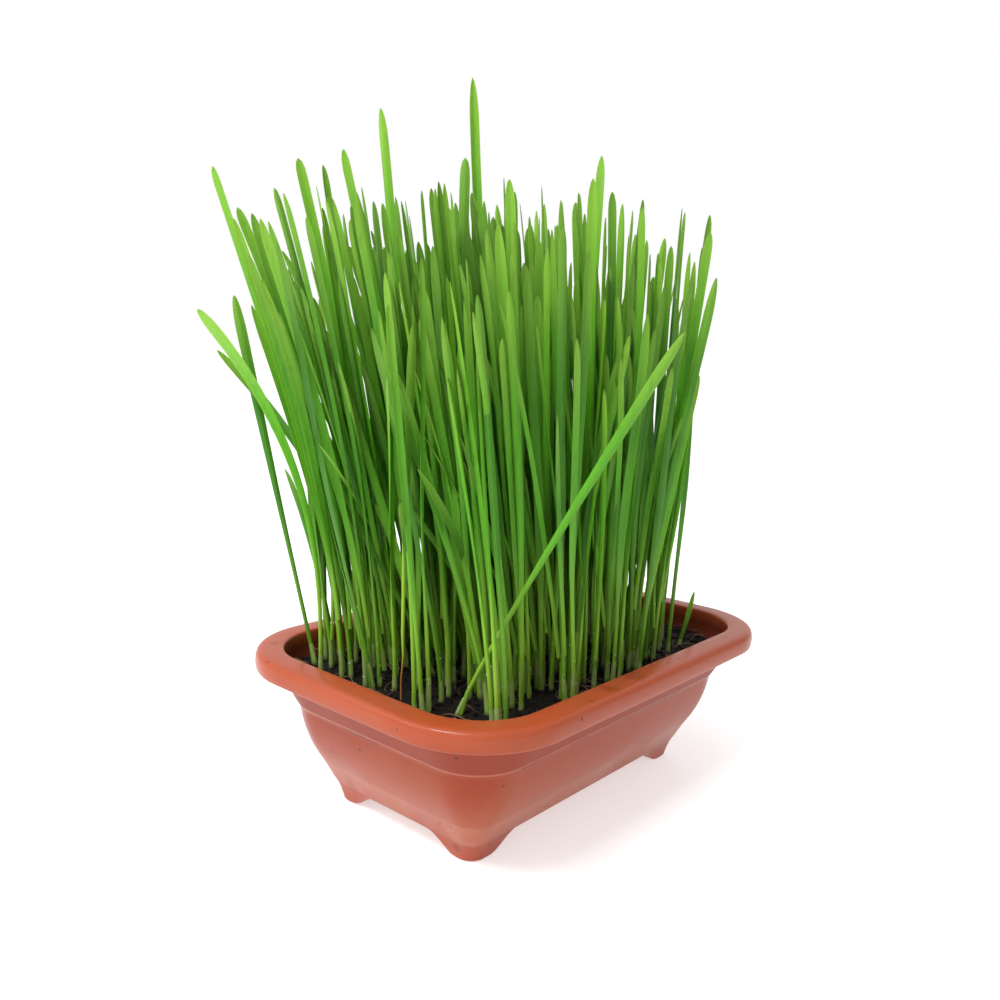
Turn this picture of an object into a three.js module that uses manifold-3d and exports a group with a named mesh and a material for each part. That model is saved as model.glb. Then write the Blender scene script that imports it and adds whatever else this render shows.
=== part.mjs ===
// Wheatgrass growing in a rectangular plastic tray that stands on four corner feet.
// Millimetres, +Z up. The feet stand on z = 0 and the object's box is centred over the origin.
import * as THREE from "three";
import { mergeVertices } from "three/addons/utils/BufferGeometryUtils.js";
import Module from "manifold-3d";

const wasm = await Module();
wasm.setup();

// ---- Driving dimensions ----

// Tray: half sizes over the widest line of the lip. X is the short way, Y the long way.
const TRAY_HALF_X = 73;
const TRAY_HALF_Y = 105;
const TRAY_HEIGHT = 66;
const LIP_CORNER_RADIUS = 38;
const LEAST_CORNER_RADIUS = 2;
const CORNER_STEPS = 6;

// Section of the tray, as insets from the lip's widest line.
const OPENING_INSET = 11.6;
const LIP_EDGE_ROUNDING = 3;
const LIP_DROP = 8;
const LIP_THICKNESS = 2;
const NECK_TOP_INSET = 8.8;
const NECK_FOOT = { inset: 17.2, z: 43 };
const NECK_STEP = 0.8;
const SHOULDER = { inset: 27, z: 18.8 };
const BELLY_CONTROL = { inset: 19.6, z: 29.5 };
const SKIRT_CONTROL = { inset: 31.2, z: 12 };
const BOTTOM_EDGE = { inset: 33.4, z: 6.7 };
const FOOT_INSET = 34.8;
const FOOT_ROUNDING = 1.6;
const WALL = 2.2;
const FLOOR_TOP = 9;

// Ogee arches between the feet: half of the straight stretch, and half of the whole opening.
const ARCH_ON_SHORT_SIDE = { straight: 15, opening: 29 };
const ARCH_ON_LONG_SIDE = { straight: 46, opening: 59 };

// Soil: level of its top, how much that rolls, and the clearance to whatever it touches.
const SOIL_LEVEL = 55;
const SOIL_ROLL = 0.9;
const GAP = 0.3;

// Grass: the sown patch, and the crown of grains and roots from which each tuft grows.
const PATCH = { x: -1, y: -8, halfX: 50, halfY: 73, cornerRadius: 14 };
const TUFT_COUNT = 51;
const CROWN_RADIUS = 5.4;
const CROWN_DEPTH = 2.6;
const CROWN_RISE = 1.4;
const CROWN_TAPER = 0.7;
const CROWN_SIDES = 6;
const LONE_CROWN_RADIUS = 2.4;
const CROWN_SPACING = 2.4;
const SHOOTS_PER_TUFT = 4;
const ROOT_REACH = 3.4;
const STEM_WIDTH = 2;

// The stand leans a little as a whole and fans out from its middle.
const LEAN = { x: -10, y: -10, fan: 0.31, scatter: 8 };
const SHOOT_HEIGHT = { least: 154, most: 198 };
const BLADE_WIDTH = { least: 3.6, most: 4.8 };
const STEM_LENGTH = 80;
const STEM_CLEARANCE = 2.6;
const BLADE_CLEARANCE = 5;
const SEED = 7;

// Tall or leaning shoots that lead a tuft: root and tip, from the tray's middle.
const LEADERS = [
  { root: [0, -26], tip: [-9, -34, 288], face: -40 },
  { root: [-17, -42], tip: [-36, -56, 276], face: -60 },
  { root: [-29, -30], tip: [-60, -54, 264], face: -50 },
  { root: [-46, -62], tip: [-94, -92, 254], face: -70 },
  { root: [-48, -40], tip: [-95, -80, 240], face: -50 },
  { root: [-36, -50], tip: [-85, -72, 235], face: -55 },
  { root: [16, 10], tip: [18, 15, 266], face: -50 },
  { root: [44, 38], tip: [53, 45, 238], face: -45 },
  { root: [47, 20], tip: [61, 38, 219], face: -60 },
  { root: [2, -47], tip: [0, -46, 256], face: -50 },
  { root: [20, -28], tip: [20, -44, 247], face: -40 },
  { root: [38, -10], tip: [38, -18, 250], face: -55 },
];

// Shoots that stand apart from the tufts and cross in front of them or splay from the side.
const LONE_SHOOTS = [
  { name: "front_shoot_to_right", root: [28, -70], tip: [88, -31, 195], bend: 1.1, face: -50 },
  { name: "front_shoot_to_left", root: [36, -62], tip: [-4, -82, 184], bend: 1.3, face: -50 },
  { name: "splayed_shoot_high", root: [-34, -83], tip: [-96, -98, 198], bend: 2.2, face: -20 },
  { name: "splayed_shoot_low", root: [-52, -50], tip: [-101, -86, 182], bend: 2, face: -80 },
  { name: "outer_shoot", root: [-50, -73], tip: [-84, -89, 204], bend: 1, face: -50 },
  { name: "short_shoot_at_end", root: [43, 63], tip: [47, 66, 82], bend: 1.3, face: -50 },
  { name: "yellowing_shoot", root: [5, -76], tip: [10, -80, 194], bend: 1.2, face: -50 },
];

const PLASTIC = { color: 0xc26a52, roughness: 0.42, metalness: 0 };
const EARTH = { color: 0x1d1512, roughness: 0.95, metalness: 0 };
const LEAF = { color: 0x5d9c2c, roughness: 0.55, metalness: 0 };
const DRY_LEAF = { color: 0xa8a045, roughness: 0.65, metalness: 0 };

// ---- Shape helpers ----

// A closed surface through rings of equal count, each anticlockwise seen from above.
// It is closed at each end by a fan to the given point.
function loft(rings, startPoint, endPoint) {
  const count = rings[0].length;
  const last = (rings.length - 1) * count;
  const start = rings.length * count;
  const points = [...rings.flat(), startPoint, endPoint];
  const index = [];
  for (let i = 0; i < count; i += 1) {
    const next = (i + 1) % count;
    for (let row = 0; row < last; row += count) {
      index.push(row + i, row + next, row + next + count);
      index.push(row + i, row + next + count, row + i + count);
    }
    index.push(start, next, i);
    index.push(start + 1, last + i, last + next);
  }
  const geometry = new THREE.BufferGeometry().setFromPoints(points);
  geometry.setIndex(index);
  return geometry;
}

function toSolid(geometry) {
  const bare = geometry.clone();
  bare.deleteAttribute("normal");
  bare.deleteAttribute("uv");
  const merged = mergeVertices(bare, 1e-4);
  return new wasm.Manifold(
    new wasm.Mesh({
      numProp: 3,
      vertProperties: merged.attributes.position.array,
      triVerts: new Uint32Array(merged.index.array),
    }),
  );
}

function toGeometry(solid) {
  const mesh = solid.getMesh();
  const geometry = new THREE.BufferGeometry();
  geometry.setAttribute("position", new THREE.BufferAttribute(mesh.vertProperties, 3));
  geometry.setIndex(new THREE.BufferAttribute(mesh.triVerts, 1));
  const faceted = geometry.toNonIndexed();
  faceted.computeVertexNormals();
  return faceted;
}

function named(name, geometry, look) {
  const mesh = new THREE.Mesh(geometry, new THREE.MeshStandardMaterial(look));
  mesh.name = name;
  return mesh;
}

// ---- Tray ----

// The tray's outline at one inset from the lip. Its corners share their centres at every level.
function trayRing(inset, z) {
  const radius = Math.max(LIP_CORNER_RADIUS - inset, LEAST_CORNER_RADIUS);
  const centreX = TRAY_HALF_X - inset - radius;
  const centreY = TRAY_HALF_Y - inset - radius;
  const ring = [];
  for (let corner = 0; corner < 4; corner += 1) {
    const signX = corner === 0 || corner === 3 ? 1 : -1;
    const signY = corner < 2 ? 1 : -1;
    for (let step = 0; step <= CORNER_STEPS; step += 1) {
      const angle = (corner + step / CORNER_STEPS) * (Math.PI / 2);
      const x = signX * centreX + radius * Math.cos(angle);
      const y = signY * centreY + radius * Math.sin(angle);
      ring.push(new THREE.Vector3(x, y, z));
    }
  }
  return ring;
}

// Outer section from the foot up the belly, the neck and the open channel under the lip.
function outsideLine() {
  const lipBottom = TRAY_HEIGHT - LIP_DROP;
  const lipTop = TRAY_HEIGHT - LIP_THICKNESS;
  const line = new THREE.Path();
  line.moveTo(FOOT_INSET + FOOT_ROUNDING, 0);
  line.quadraticCurveTo(FOOT_INSET, 0, FOOT_INSET, FOOT_ROUNDING);
  line.lineTo(BOTTOM_EDGE.inset, BOTTOM_EDGE.z);
  line.quadraticCurveTo(SKIRT_CONTROL.inset, SKIRT_CONTROL.z, SHOULDER.inset, SHOULDER.z);
  line.quadraticCurveTo(
    BELLY_CONTROL.inset,
    BELLY_CONTROL.z,
    NECK_FOOT.inset + NECK_STEP,
    NECK_FOOT.z - NECK_STEP,
  );
  line.lineTo(NECK_FOOT.inset, NECK_FOOT.z);
  line.lineTo(NECK_TOP_INSET, lipBottom);
  line.lineTo(NECK_TOP_INSET - 0.6, lipTop);
  line.lineTo(LIP_THICKNESS + 1, lipTop);
  line.lineTo(LIP_THICKNESS + 0.6, lipBottom);
  line.lineTo(0.8, lipBottom);
  line.quadraticCurveTo(-0.4, lipBottom + 3.5, 0.6, TRAY_HEIGHT - LIP_EDGE_ROUNDING + 0.6);
  line.quadraticCurveTo(1.2, TRAY_HEIGHT, LIP_EDGE_ROUNDING + 0.8, TRAY_HEIGHT);
  return line.getPoints(4);
}

// Inner section from the rim down to the floor, one wall thickness inside the outer one.
function insideLine() {
  const neckTop = TRAY_HEIGHT - LIP_DROP;
  const line = new THREE.Path();
  line.moveTo(OPENING_INSET - 0.8, TRAY_HEIGHT);
  line.quadraticCurveTo(OPENING_INSET, TRAY_HEIGHT, OPENING_INSET, TRAY_HEIGHT - 0.8);
  line.lineTo(NECK_TOP_INSET + WALL + 1, neckTop);
  line.lineTo(NECK_FOOT.inset + WALL + 0.4, NECK_FOOT.z);
  line.quadraticCurveTo(
    BELLY_CONTROL.inset + WALL,
    BELLY_CONTROL.z,
    SHOULDER.inset + WALL,
    SHOULDER.z,
  );
  line.lineTo(BOTTOM_EDGE.inset, FLOOR_TOP + 3);
  line.lineTo(BOTTOM_EDGE.inset + WALL, FLOOR_TOP);
  return line.getPoints(4);
}

// The gap under the tray between two feet, running the whole way across along Y.
function footArch(arch, runLength) {
  const below = -3;
  const outline = new THREE.Shape();
  outline.moveTo(-arch.opening, below);
  outline.lineTo(arch.opening, below);
  outline.lineTo(arch.opening, 0);
  outline.bezierCurveTo(
    arch.opening - 6,
    0.4,
    arch.straight + 6,
    BOTTOM_EDGE.z,
    arch.straight,
    BOTTOM_EDGE.z,
  );
  outline.lineTo(-arch.straight, BOTTOM_EDGE.z);
  outline.bezierCurveTo(
    -arch.straight - 6,
    BOTTOM_EDGE.z,
    -arch.opening + 6,
    0.4,
    -arch.opening,
    0,
  );
  const geometry = new THREE.ExtrudeGeometry(outline, {
    depth: runLength,
    bevelEnabled: false,
    curveSegments: 6,
  });
  geometry.translate(0, 0, -runLength / 2);
  return geometry.rotateX(Math.PI / 2);
}

function makeTray() {
  const section = [...outsideLine(), ...insideLine()];
  const rings = section.map((point) => trayRing(point.x, point.y));
  const shell = toSolid(
    loft(rings, new THREE.Vector3(0, 0, 0), new THREE.Vector3(0, 0, FLOOR_TOP)),
  );
  const alongY = footArch(ARCH_ON_SHORT_SIDE, 3 * TRAY_HALF_Y);
  const alongX = footArch(ARCH_ON_LONG_SIDE, 3 * TRAY_HALF_X).rotateZ(Math.PI / 2);
  return shell.subtract(toSolid(alongY)).subtract(toSolid(alongX));
}

// ---- Soil ----

function soilTop(x, y) {
  return SOIL_LEVEL + SOIL_ROLL * Math.sin(x / 11 + 1) * Math.cos(y / 15);
}

// The inset of the tray's inside face at one height.
function insideInset(z) {
  const line = insideLine();
  const below = line.findIndex((point) => point.y <= z);
  const high = line[below - 1];
  const low = line[below];
  return high.x + ((low.x - high.x) * (high.y - z)) / (high.y - low.y);
}

function makeSoil(crowns) {
  const sideLevels = [FLOOR_TOP + GAP, 12, 16, 22, 30, 38, 43, SOIL_LEVEL - SOIL_ROLL - 0.4];
  const rings = sideLevels.map((z) => trayRing(insideInset(z) + GAP, z));
  const edge = rings[rings.length - 1];
  for (const share of [0.96, 0.64, 0.32]) {
    rings.push(
      edge.map((p) => new THREE.Vector3(p.x * share, p.y * share, soilTop(p.x * share, p.y * share))),
    );
  }
  const bottom = new THREE.Vector3(0, 0, FLOOR_TOP + GAP);
  const top = new THREE.Vector3(0, 0, soilTop(0, 0));
  let soil = toSolid(loft(rings, bottom, top));
  for (const crown of crowns) soil = soil.subtract(toSolid(socketShape(crown)));
  return soil;
}

// ---- Grass ----

function randomSource(seed) {
  let state = seed;
  return () => {
    state = (state * 1664525 + 1013904223) % 4294967296;
    return state / 4294967296;
  };
}

const random = randomSource(SEED);

function between(least, most) {
  return least + (most - least) * random();
}

// The low mound of grains and roots at the foot of a tuft, sunk in the soil up to its widest line.
function crownShape(crown) {
  const profile = [
    new THREE.Vector2(0, -CROWN_DEPTH),
    new THREE.Vector2(CROWN_TAPER * crown.radius, -CROWN_DEPTH),
    new THREE.Vector2(crown.radius, 0),
    new THREE.Vector2(0, CROWN_RISE),
  ];
  const geometry = new THREE.LatheGeometry(profile, CROWN_SIDES).rotateX(Math.PI / 2);
  return geometry.translate(crown.x, crown.y, soilTop(crown.x, crown.y));
}

// The hole in the soil around a crown. It widens upwards and opens above the soil.
function socketShape(crown) {
  const below = CROWN_DEPTH + GAP;
  const above = 4;
  const flare = (1 - CROWN_TAPER) * crown.radius * (above / CROWN_DEPTH);
  const geometry = new THREE.CylinderGeometry(
    crown.radius + GAP + flare,
    CROWN_TAPER * crown.radius + GAP,
    below + above,
    CROWN_SIDES,
  );
  geometry.rotateX(Math.PI / 2);
  return geometry.translate(crown.x, crown.y, soilTop(crown.x, crown.y) + (above - below) / 2);
}

// True inside the sown patch, a rectangle with round corners.
function inPatch(x, y) {
  const overX = Math.max(Math.abs(x - PATCH.x) - (PATCH.halfX - PATCH.cornerRadius), 0);
  const overY = Math.max(Math.abs(y - PATCH.y) - (PATCH.halfY - PATCH.cornerRadius), 0);
  return Math.hypot(overX, overY) < PATCH.cornerRadius;
}

// Crowns at the lone shoots and the leaders first, and then wherever there is room for one.
function placeCrowns() {
  const lone = LONE_SHOOTS.map(({ root }) => ({ x: root[0], y: root[1], radius: LONE_CROWN_RADIUS }));
  const tufts = LEADERS.map(({ root }) => ({ x: root[0], y: root[1], radius: CROWN_RADIUS }));
  for (let tries = 0; tries < 20000 && tufts.length < TUFT_COUNT; tries += 1) {
    const x = PATCH.x + between(-PATCH.halfX, PATCH.halfX);
    const y = PATCH.y + between(-PATCH.halfY, PATCH.halfY);
    const radius = CROWN_RADIUS;
    const free = [...lone, ...tufts].every(
      (other) => Math.hypot(x - other.x, y - other.y) > radius + other.radius + CROWN_SPACING,
    );
    if (free && inPatch(x, y)) tufts.push({ x, y, radius });
  }
  return { lone, tufts };
}

// A point on a shoot's middle line. share runs from 0 at the root to 1 at the tip.
function alongShoot(shoot, share) {
  const out = share ** shoot.bend;
  return new THREE.Vector3(
    shoot.root[0] + (shoot.tip[0] - shoot.root[0]) * out,
    shoot.root[1] + (shoot.tip[1] - shoot.root[1]) * out,
    SOIL_LEVEL + (shoot.tip[2] - SOIL_LEVEL) * share,
  );
}

function atLevel(shoot, z) {
  return alongShoot(shoot, (z - SOIL_LEVEL) / (shoot.tip[2] - SOIL_LEVEL));
}

// True where two shoots keep their distance at every level that both reach: little between
// their stalks, more between their leaves.
function apart(one, other) {
  const top = Math.min(one.tip[2], other.tip[2]);
  for (let z = SOIL_LEVEL; z < top + 4; z += 4) {
    const level = Math.min(z, top);
    const here = atLevel(one, level);
    const there = atLevel(other, level);
    const opened = Math.min((level - SOIL_LEVEL) / STEM_LENGTH, 1);
    const needed = STEM_CLEARANCE + (BLADE_CLEARANCE - STEM_CLEARANCE) * opened;
    if (Math.hypot(here.x - there.x, here.y - there.y) < needed) return false;
  }
  return true;
}

// The shoots that grow from one crown beside those that already stand.
function fillTuft(crown, standing, wanted) {
  const shoots = [];
  for (let tries = 0; tries < 150 && shoots.length < wanted; tries += 1) {
    const angle = between(0, 2 * Math.PI);
    const distance = between(1.8, ROOT_REACH);
    const x = crown.x + distance * Math.cos(angle);
    const y = crown.y + distance * Math.sin(angle);
    const shoot = {
      root: [x, y],
      tip: [
        x + LEAN.x + LEAN.fan * x + between(-LEAN.scatter, LEAN.scatter),
        y + LEAN.y + LEAN.fan * y + between(-LEAN.scatter, LEAN.scatter),
        SOIL_LEVEL + between(SHOOT_HEIGHT.least, SHOOT_HEIGHT.most),
      ],
      bend: between(1, 1.5),
      face: between(-140, 40),
      width: between(BLADE_WIDTH.least, BLADE_WIDTH.most),
    };
    if ([...standing, ...shoots].every((other) => apart(shoot, other))) shoots.push(shoot);
  }
  return shoots;
}

// One shoot: a stalk that opens into a leaf with a keel along its back.
function shootShape(shoot) {
  const width = shoot.width;
  const stations = [
    { share: 0, wide: STEM_WIDTH, thick: 1.3 },
    { share: 0.25, wide: STEM_WIDTH, thick: 1.2 },
    { share: 0.5, wide: width * 0.85, thick: 0.9 },
    { share: 0.78, wide: width, thick: 0.8 },
    { share: 0.96, wide: width * 0.7, thick: 0.6 },
  ];
  const front = THREE.MathUtils.degToRad(shoot.face);
  const rings = stations.map(({ share, wide, thick }) => {
    const at = alongShoot(shoot, share);
    const corner = (angle, reach) =>
      new THREE.Vector3(at.x + reach * Math.cos(angle), at.y + reach * Math.sin(angle), at.z);
    return [
      corner(front, thick),
      corner(front + Math.PI / 2, wide / 2),
      corner(front - Math.PI / 2, wide / 2),
    ];
  });
  const foot = alongShoot(shoot, 0).setZ(SOIL_LEVEL - 1);
  return loft(rings, foot, alongShoot(shoot, 1));
}

function makeTuft(crown, shoots) {
  let tuft = toSolid(crownShape(crown));
  for (const shoot of shoots) tuft = tuft.add(toSolid(shootShape(shoot)));
  return tuft;
}

// ---- Assembly ----

const usual = { bend: 1.3, width: 4.6 };
const leaders = LEADERS.map((shoot) => ({ ...usual, ...shoot }));
const loneShoots = LONE_SHOOTS.map((shoot) => ({ ...usual, ...shoot }));
const crowns = placeCrowns();
const grown = [...leaders, ...loneShoots];
const tuftShoots = crowns.tufts.map((crown, i) => {
  const own = i < leaders.length ? [leaders[i]] : [];
  const added = fillTuft(crown, grown, SHOOTS_PER_TUFT - own.length);
  grown.push(...added);
  return [...own, ...added];
});

const plant = new THREE.Group();
plant.add(named("tray", toGeometry(makeTray()), PLASTIC));
plant.add(named("soil", toGeometry(makeSoil([...crowns.lone, ...crowns.tufts])), EARTH));
crowns.tufts.forEach((crown, i) => {
  const name = `wheat_tuft_${String(i + 1).padStart(2, "0")}`;
  plant.add(named(name, toGeometry(makeTuft(crown, tuftShoots[i])), LEAF));
});
crowns.lone.forEach((crown, i) => {
  const look = loneShoots[i].name === "yellowing_shoot" ? DRY_LEAF : LEAF;
  plant.add(named(loneShoots[i].name, toGeometry(makeTuft(crown, [loneShoots[i]])), look));
});

// The stand leans, so its box isn't centred over the tray: the whole object moves over the origin.
const middle = new THREE.Box3().setFromObject(plant).getCenter(new THREE.Vector3());
plant.position.set(-middle.x, -middle.y, 0);

const object = new THREE.Group();
object.add(plant);
export default object;
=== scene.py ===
"""Dresses the wheatgrass tray: moulded tray, potting soil, shoots, dew and loose bits.

Every piece is made in the row's frame, in metres. Sizes are written in millimetres from the
middle of the tray and turned into metres where a mesh is made.
"""

import logging
import math
import random
from dataclasses import dataclass, field, replace
from enum import Enum
from typing import Any, ClassVar, Iterable, Sequence

import bmesh
import bpy
import numpy as np
from mathutils import Matrix, Vector


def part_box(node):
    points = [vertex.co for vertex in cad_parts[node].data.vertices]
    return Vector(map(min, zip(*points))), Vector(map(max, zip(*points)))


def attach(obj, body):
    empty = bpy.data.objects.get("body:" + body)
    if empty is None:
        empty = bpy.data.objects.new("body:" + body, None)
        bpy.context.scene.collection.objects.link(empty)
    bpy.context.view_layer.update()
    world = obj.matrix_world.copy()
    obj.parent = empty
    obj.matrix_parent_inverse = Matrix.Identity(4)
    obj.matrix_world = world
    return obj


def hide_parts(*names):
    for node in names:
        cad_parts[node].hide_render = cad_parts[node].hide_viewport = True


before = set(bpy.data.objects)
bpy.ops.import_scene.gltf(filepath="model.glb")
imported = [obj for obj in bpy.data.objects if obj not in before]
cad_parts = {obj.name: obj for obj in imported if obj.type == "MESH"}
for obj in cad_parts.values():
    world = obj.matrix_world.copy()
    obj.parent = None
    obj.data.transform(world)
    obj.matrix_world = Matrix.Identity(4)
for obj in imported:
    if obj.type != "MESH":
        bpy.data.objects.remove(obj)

MM = 0.001
BODY = "root"
YELLOWING = "yellowing_shoot"

log = logging.getLogger("wheatgrass")

Point = tuple[float, float, float]
Spot = tuple[float, float]
Range = tuple[float, float]
Colour = tuple[float, float, float]
Socket = bpy.types.NodeSocket


# ---- Node helpers ----


class NodeBench:
    """Adds nodes to one tree and joins them, for materials and Geometry Nodes alike."""

    def __init__(self, tree: bpy.types.NodeTree) -> None:
        """Keeps the tree that the nodes go into."""
        self.tree = tree

    def add(self, kind: str, **settings: Any) -> bpy.types.Node:
        """Adds one node.

        Args:
            kind: The node's type name.
            settings: Properties of the node, by name.

        Returns:
            The new node.
        """
        node = self.tree.nodes.new(kind)
        for name, value in settings.items():
            setattr(node, name, value)
        return node

    def feed(self, socket: Socket, value: Any) -> None:
        """Joins an output to an input, or sets the input's constant.

        Args:
            socket: The input.
            value: Another node's output, a number, a vector or a colour.
        """
        if isinstance(value, bpy.types.NodeSocket):
            self.tree.links.new(value, socket)
        else:
            socket.default_value = value

    def math(self, operation: str, *values: Any, clamp: bool = False) -> Socket:
        """Works out one step of arithmetic on numbers.

        Args:
            operation: The Math node's operation.
            values: Its inputs in order.
            clamp: Whether the result is kept between 0 and 1.

        Returns:
            The result.
        """
        node = self.add("ShaderNodeMath", operation=operation, use_clamp=clamp)
        for socket, value in zip(node.inputs, values):
            self.feed(socket, value)
        return node.outputs[0]

    def times(self, first: Any, second: Any) -> Socket:
        """Returns the product of two numbers."""
        return self.math("MULTIPLY", first, second)

    def plus(self, first: Any, second: Any, clamp: bool = False) -> Socket:
        """Returns the sum of two numbers, kept between 0 and 1 if asked."""
        return self.math("ADD", first, second, clamp=clamp)

    def minus(self, first: Any, second: Any) -> Socket:
        """Returns the difference of two numbers."""
        return self.math("SUBTRACT", first, second)

    def vector(self, operation: str, first: Any, second: Any) -> Socket:
        """Works out one step of arithmetic on vectors.

        Args:
            operation: The Vector Math node's operation.
            first: The first vector.
            second: The second vector, or the factor of SCALE.

        Returns:
            The resulting vector.
        """
        node = self.add("ShaderNodeVectorMath", operation=operation)
        self.feed(node.inputs[0], first)
        self.feed(node.inputs["Scale"] if operation == "SCALE" else node.inputs[1], second)
        return node.outputs[0]

    def parts(self, vector: Socket) -> tuple[Socket, ...]:
        """Returns the three components of a vector."""
        node = self.add("ShaderNodeSeparateXYZ")
        self.feed(node.inputs[0], vector)
        return tuple(node.outputs)

    def noise(self, vector: Any, scale: float, detail: float = 3.0, rough: float = 0.5,
              warp: float = 0.0) -> Socket:
        """Adds a noise texture.

        Args:
            vector: Where it is read, or None for the plain position.
            scale: Features per metre.
            detail: Octaves.
            rough: How strong the finer octaves are.
            warp: How far it is distorted.

        Returns:
            The noise between 0 and 1.
        """
        node = self.add("ShaderNodeTexNoise")
        if vector is not None:
            self.feed(node.inputs["Vector"], vector)
        for label, value in (("Scale", scale), ("Detail", detail), ("Roughness", rough),
                             ("Distortion", warp)):
            self.feed(node.inputs[label], value)
        return node.outputs["Fac"]


class Palette(NodeBench):
    """Builds one material around a Principled shader."""

    def __init__(self, name: str) -> None:
        """Starts a material with an empty tree, a Principled shader and its output.

        Args:
            name: The material's name.
        """
        self.material = bpy.data.materials.new(name)
        self.material.use_nodes = True
        super().__init__(self.material.node_tree)
        self.tree.nodes.clear()
        self.shader = self.add("ShaderNodeBsdfPrincipled")
        self.output = self.add("ShaderNodeOutputMaterial")
        self.feed(self.output.inputs["Surface"], self.shader.outputs["BSDF"])

    def set(self, **values: Any) -> None:
        """Sets inputs of the shader; spaces in their names are written as underscores."""
        for name, value in values.items():
            self.feed(self.shader.inputs[name.replace("_", " ")], value)

    def place(self) -> Socket:
        """Returns the object coordinates, which are metres in the row's frame."""
        return self.add("ShaderNodeTexCoord").outputs["Object"]

    def attribute(self, name: str) -> Socket:
        """Returns a number stored on the mesh under that name."""
        return self.add("ShaderNodeAttribute", attribute_name=name).outputs["Fac"]

    def stretched(self, vector: Socket, scale: Point) -> Socket:
        """Returns the vector with each component multiplied by its own factor."""
        return self.vector("MULTIPLY", vector, scale)

    def cells(self, vector: Any, scale: float) -> tuple[Socket, Socket]:
        """Adds a Voronoi texture.

        Args:
            vector: Where it is read.
            scale: Cells per metre.

        Returns:
            The distance to the nearest cell point, and that cell's random number.
        """
        node = self.add("ShaderNodeTexVoronoi")
        self.feed(node.inputs["Vector"], vector)
        node.inputs["Scale"].default_value = scale
        channel = self.add("ShaderNodeSeparateColor")
        self.feed(channel.inputs[0], node.outputs["Color"])
        return node.outputs["Distance"], channel.outputs[0]

    def span(self, value: Any, start: float, end: float, low: float = 0.0,
             high: float = 1.0) -> Socket:
        """Maps a value smoothly from one range to another and holds it at the ends.

        Args:
            value: The number that is mapped.
            start: Where the range starts; it may be above end.
            end: Where the range ends.
            low: The result at start.
            high: The result at end.

        Returns:
            The mapped number.
        """
        node = self.add("ShaderNodeMapRange", interpolation_type="SMOOTHSTEP")
        rising = start < end
        numbers = (value, min(start, end), max(start, end),
                   low if rising else high, high if rising else low)
        for socket, number in zip(node.inputs, numbers):
            self.feed(socket, number)
        return node.outputs[0]

    def band(self, value: Any, middle: float, half: float, soft: float) -> Socket:
        """Returns 1 within half of the middle, falling to 0 over the soft distance."""
        away = self.math("ABSOLUTE", self.minus(value, middle))
        return self.span(away, half, half + soft, 1.0, 0.0)

    def mix(self, factor: Any, first: Any, second: Any) -> Socket:
        """Mixes two colours.

        Args:
            factor: How much of the second.
            first: A colour or an output.
            second: A colour or an output.

        Returns:
            The mixed colour.
        """
        node = self.add("ShaderNodeMix", data_type="RGBA")
        self.feed(node.inputs[0], factor)
        for socket, colour in ((node.inputs[6], first), (node.inputs[7], second)):
            self.feed(socket, (*colour, 1.0) if isinstance(colour, tuple) else colour)
        return node.outputs[2]

    def laid(self, under: Any, over: Any, where: Any, strength: Any) -> Socket:
        """Lays one colour over another.

        Args:
            under: The colour so far.
            over: The colour that goes over it.
            where: How much of it goes there, from 0 to 1.
            strength: What that is multiplied by.

        Returns:
            The new colour.
        """
        return self.mix(self.times(where, strength), under, over)

    def bump(self, height: Any, depth: float, under: Any = None) -> Socket:
        """Adds relief.

        Args:
            height: The relief, from 0 to 1.
            depth: Its height in metres.
            under: Another relief's normal that this one is added to.

        Returns:
            The new normal.
        """
        node = self.add("ShaderNodeBump")
        self.feed(node.inputs["Strength"], 1.0)
        self.feed(node.inputs["Distance"], depth)
        self.feed(node.inputs["Height"], height)
        if under is not None:
            self.feed(node.inputs["Normal"], under)
        return node.outputs[0]


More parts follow.
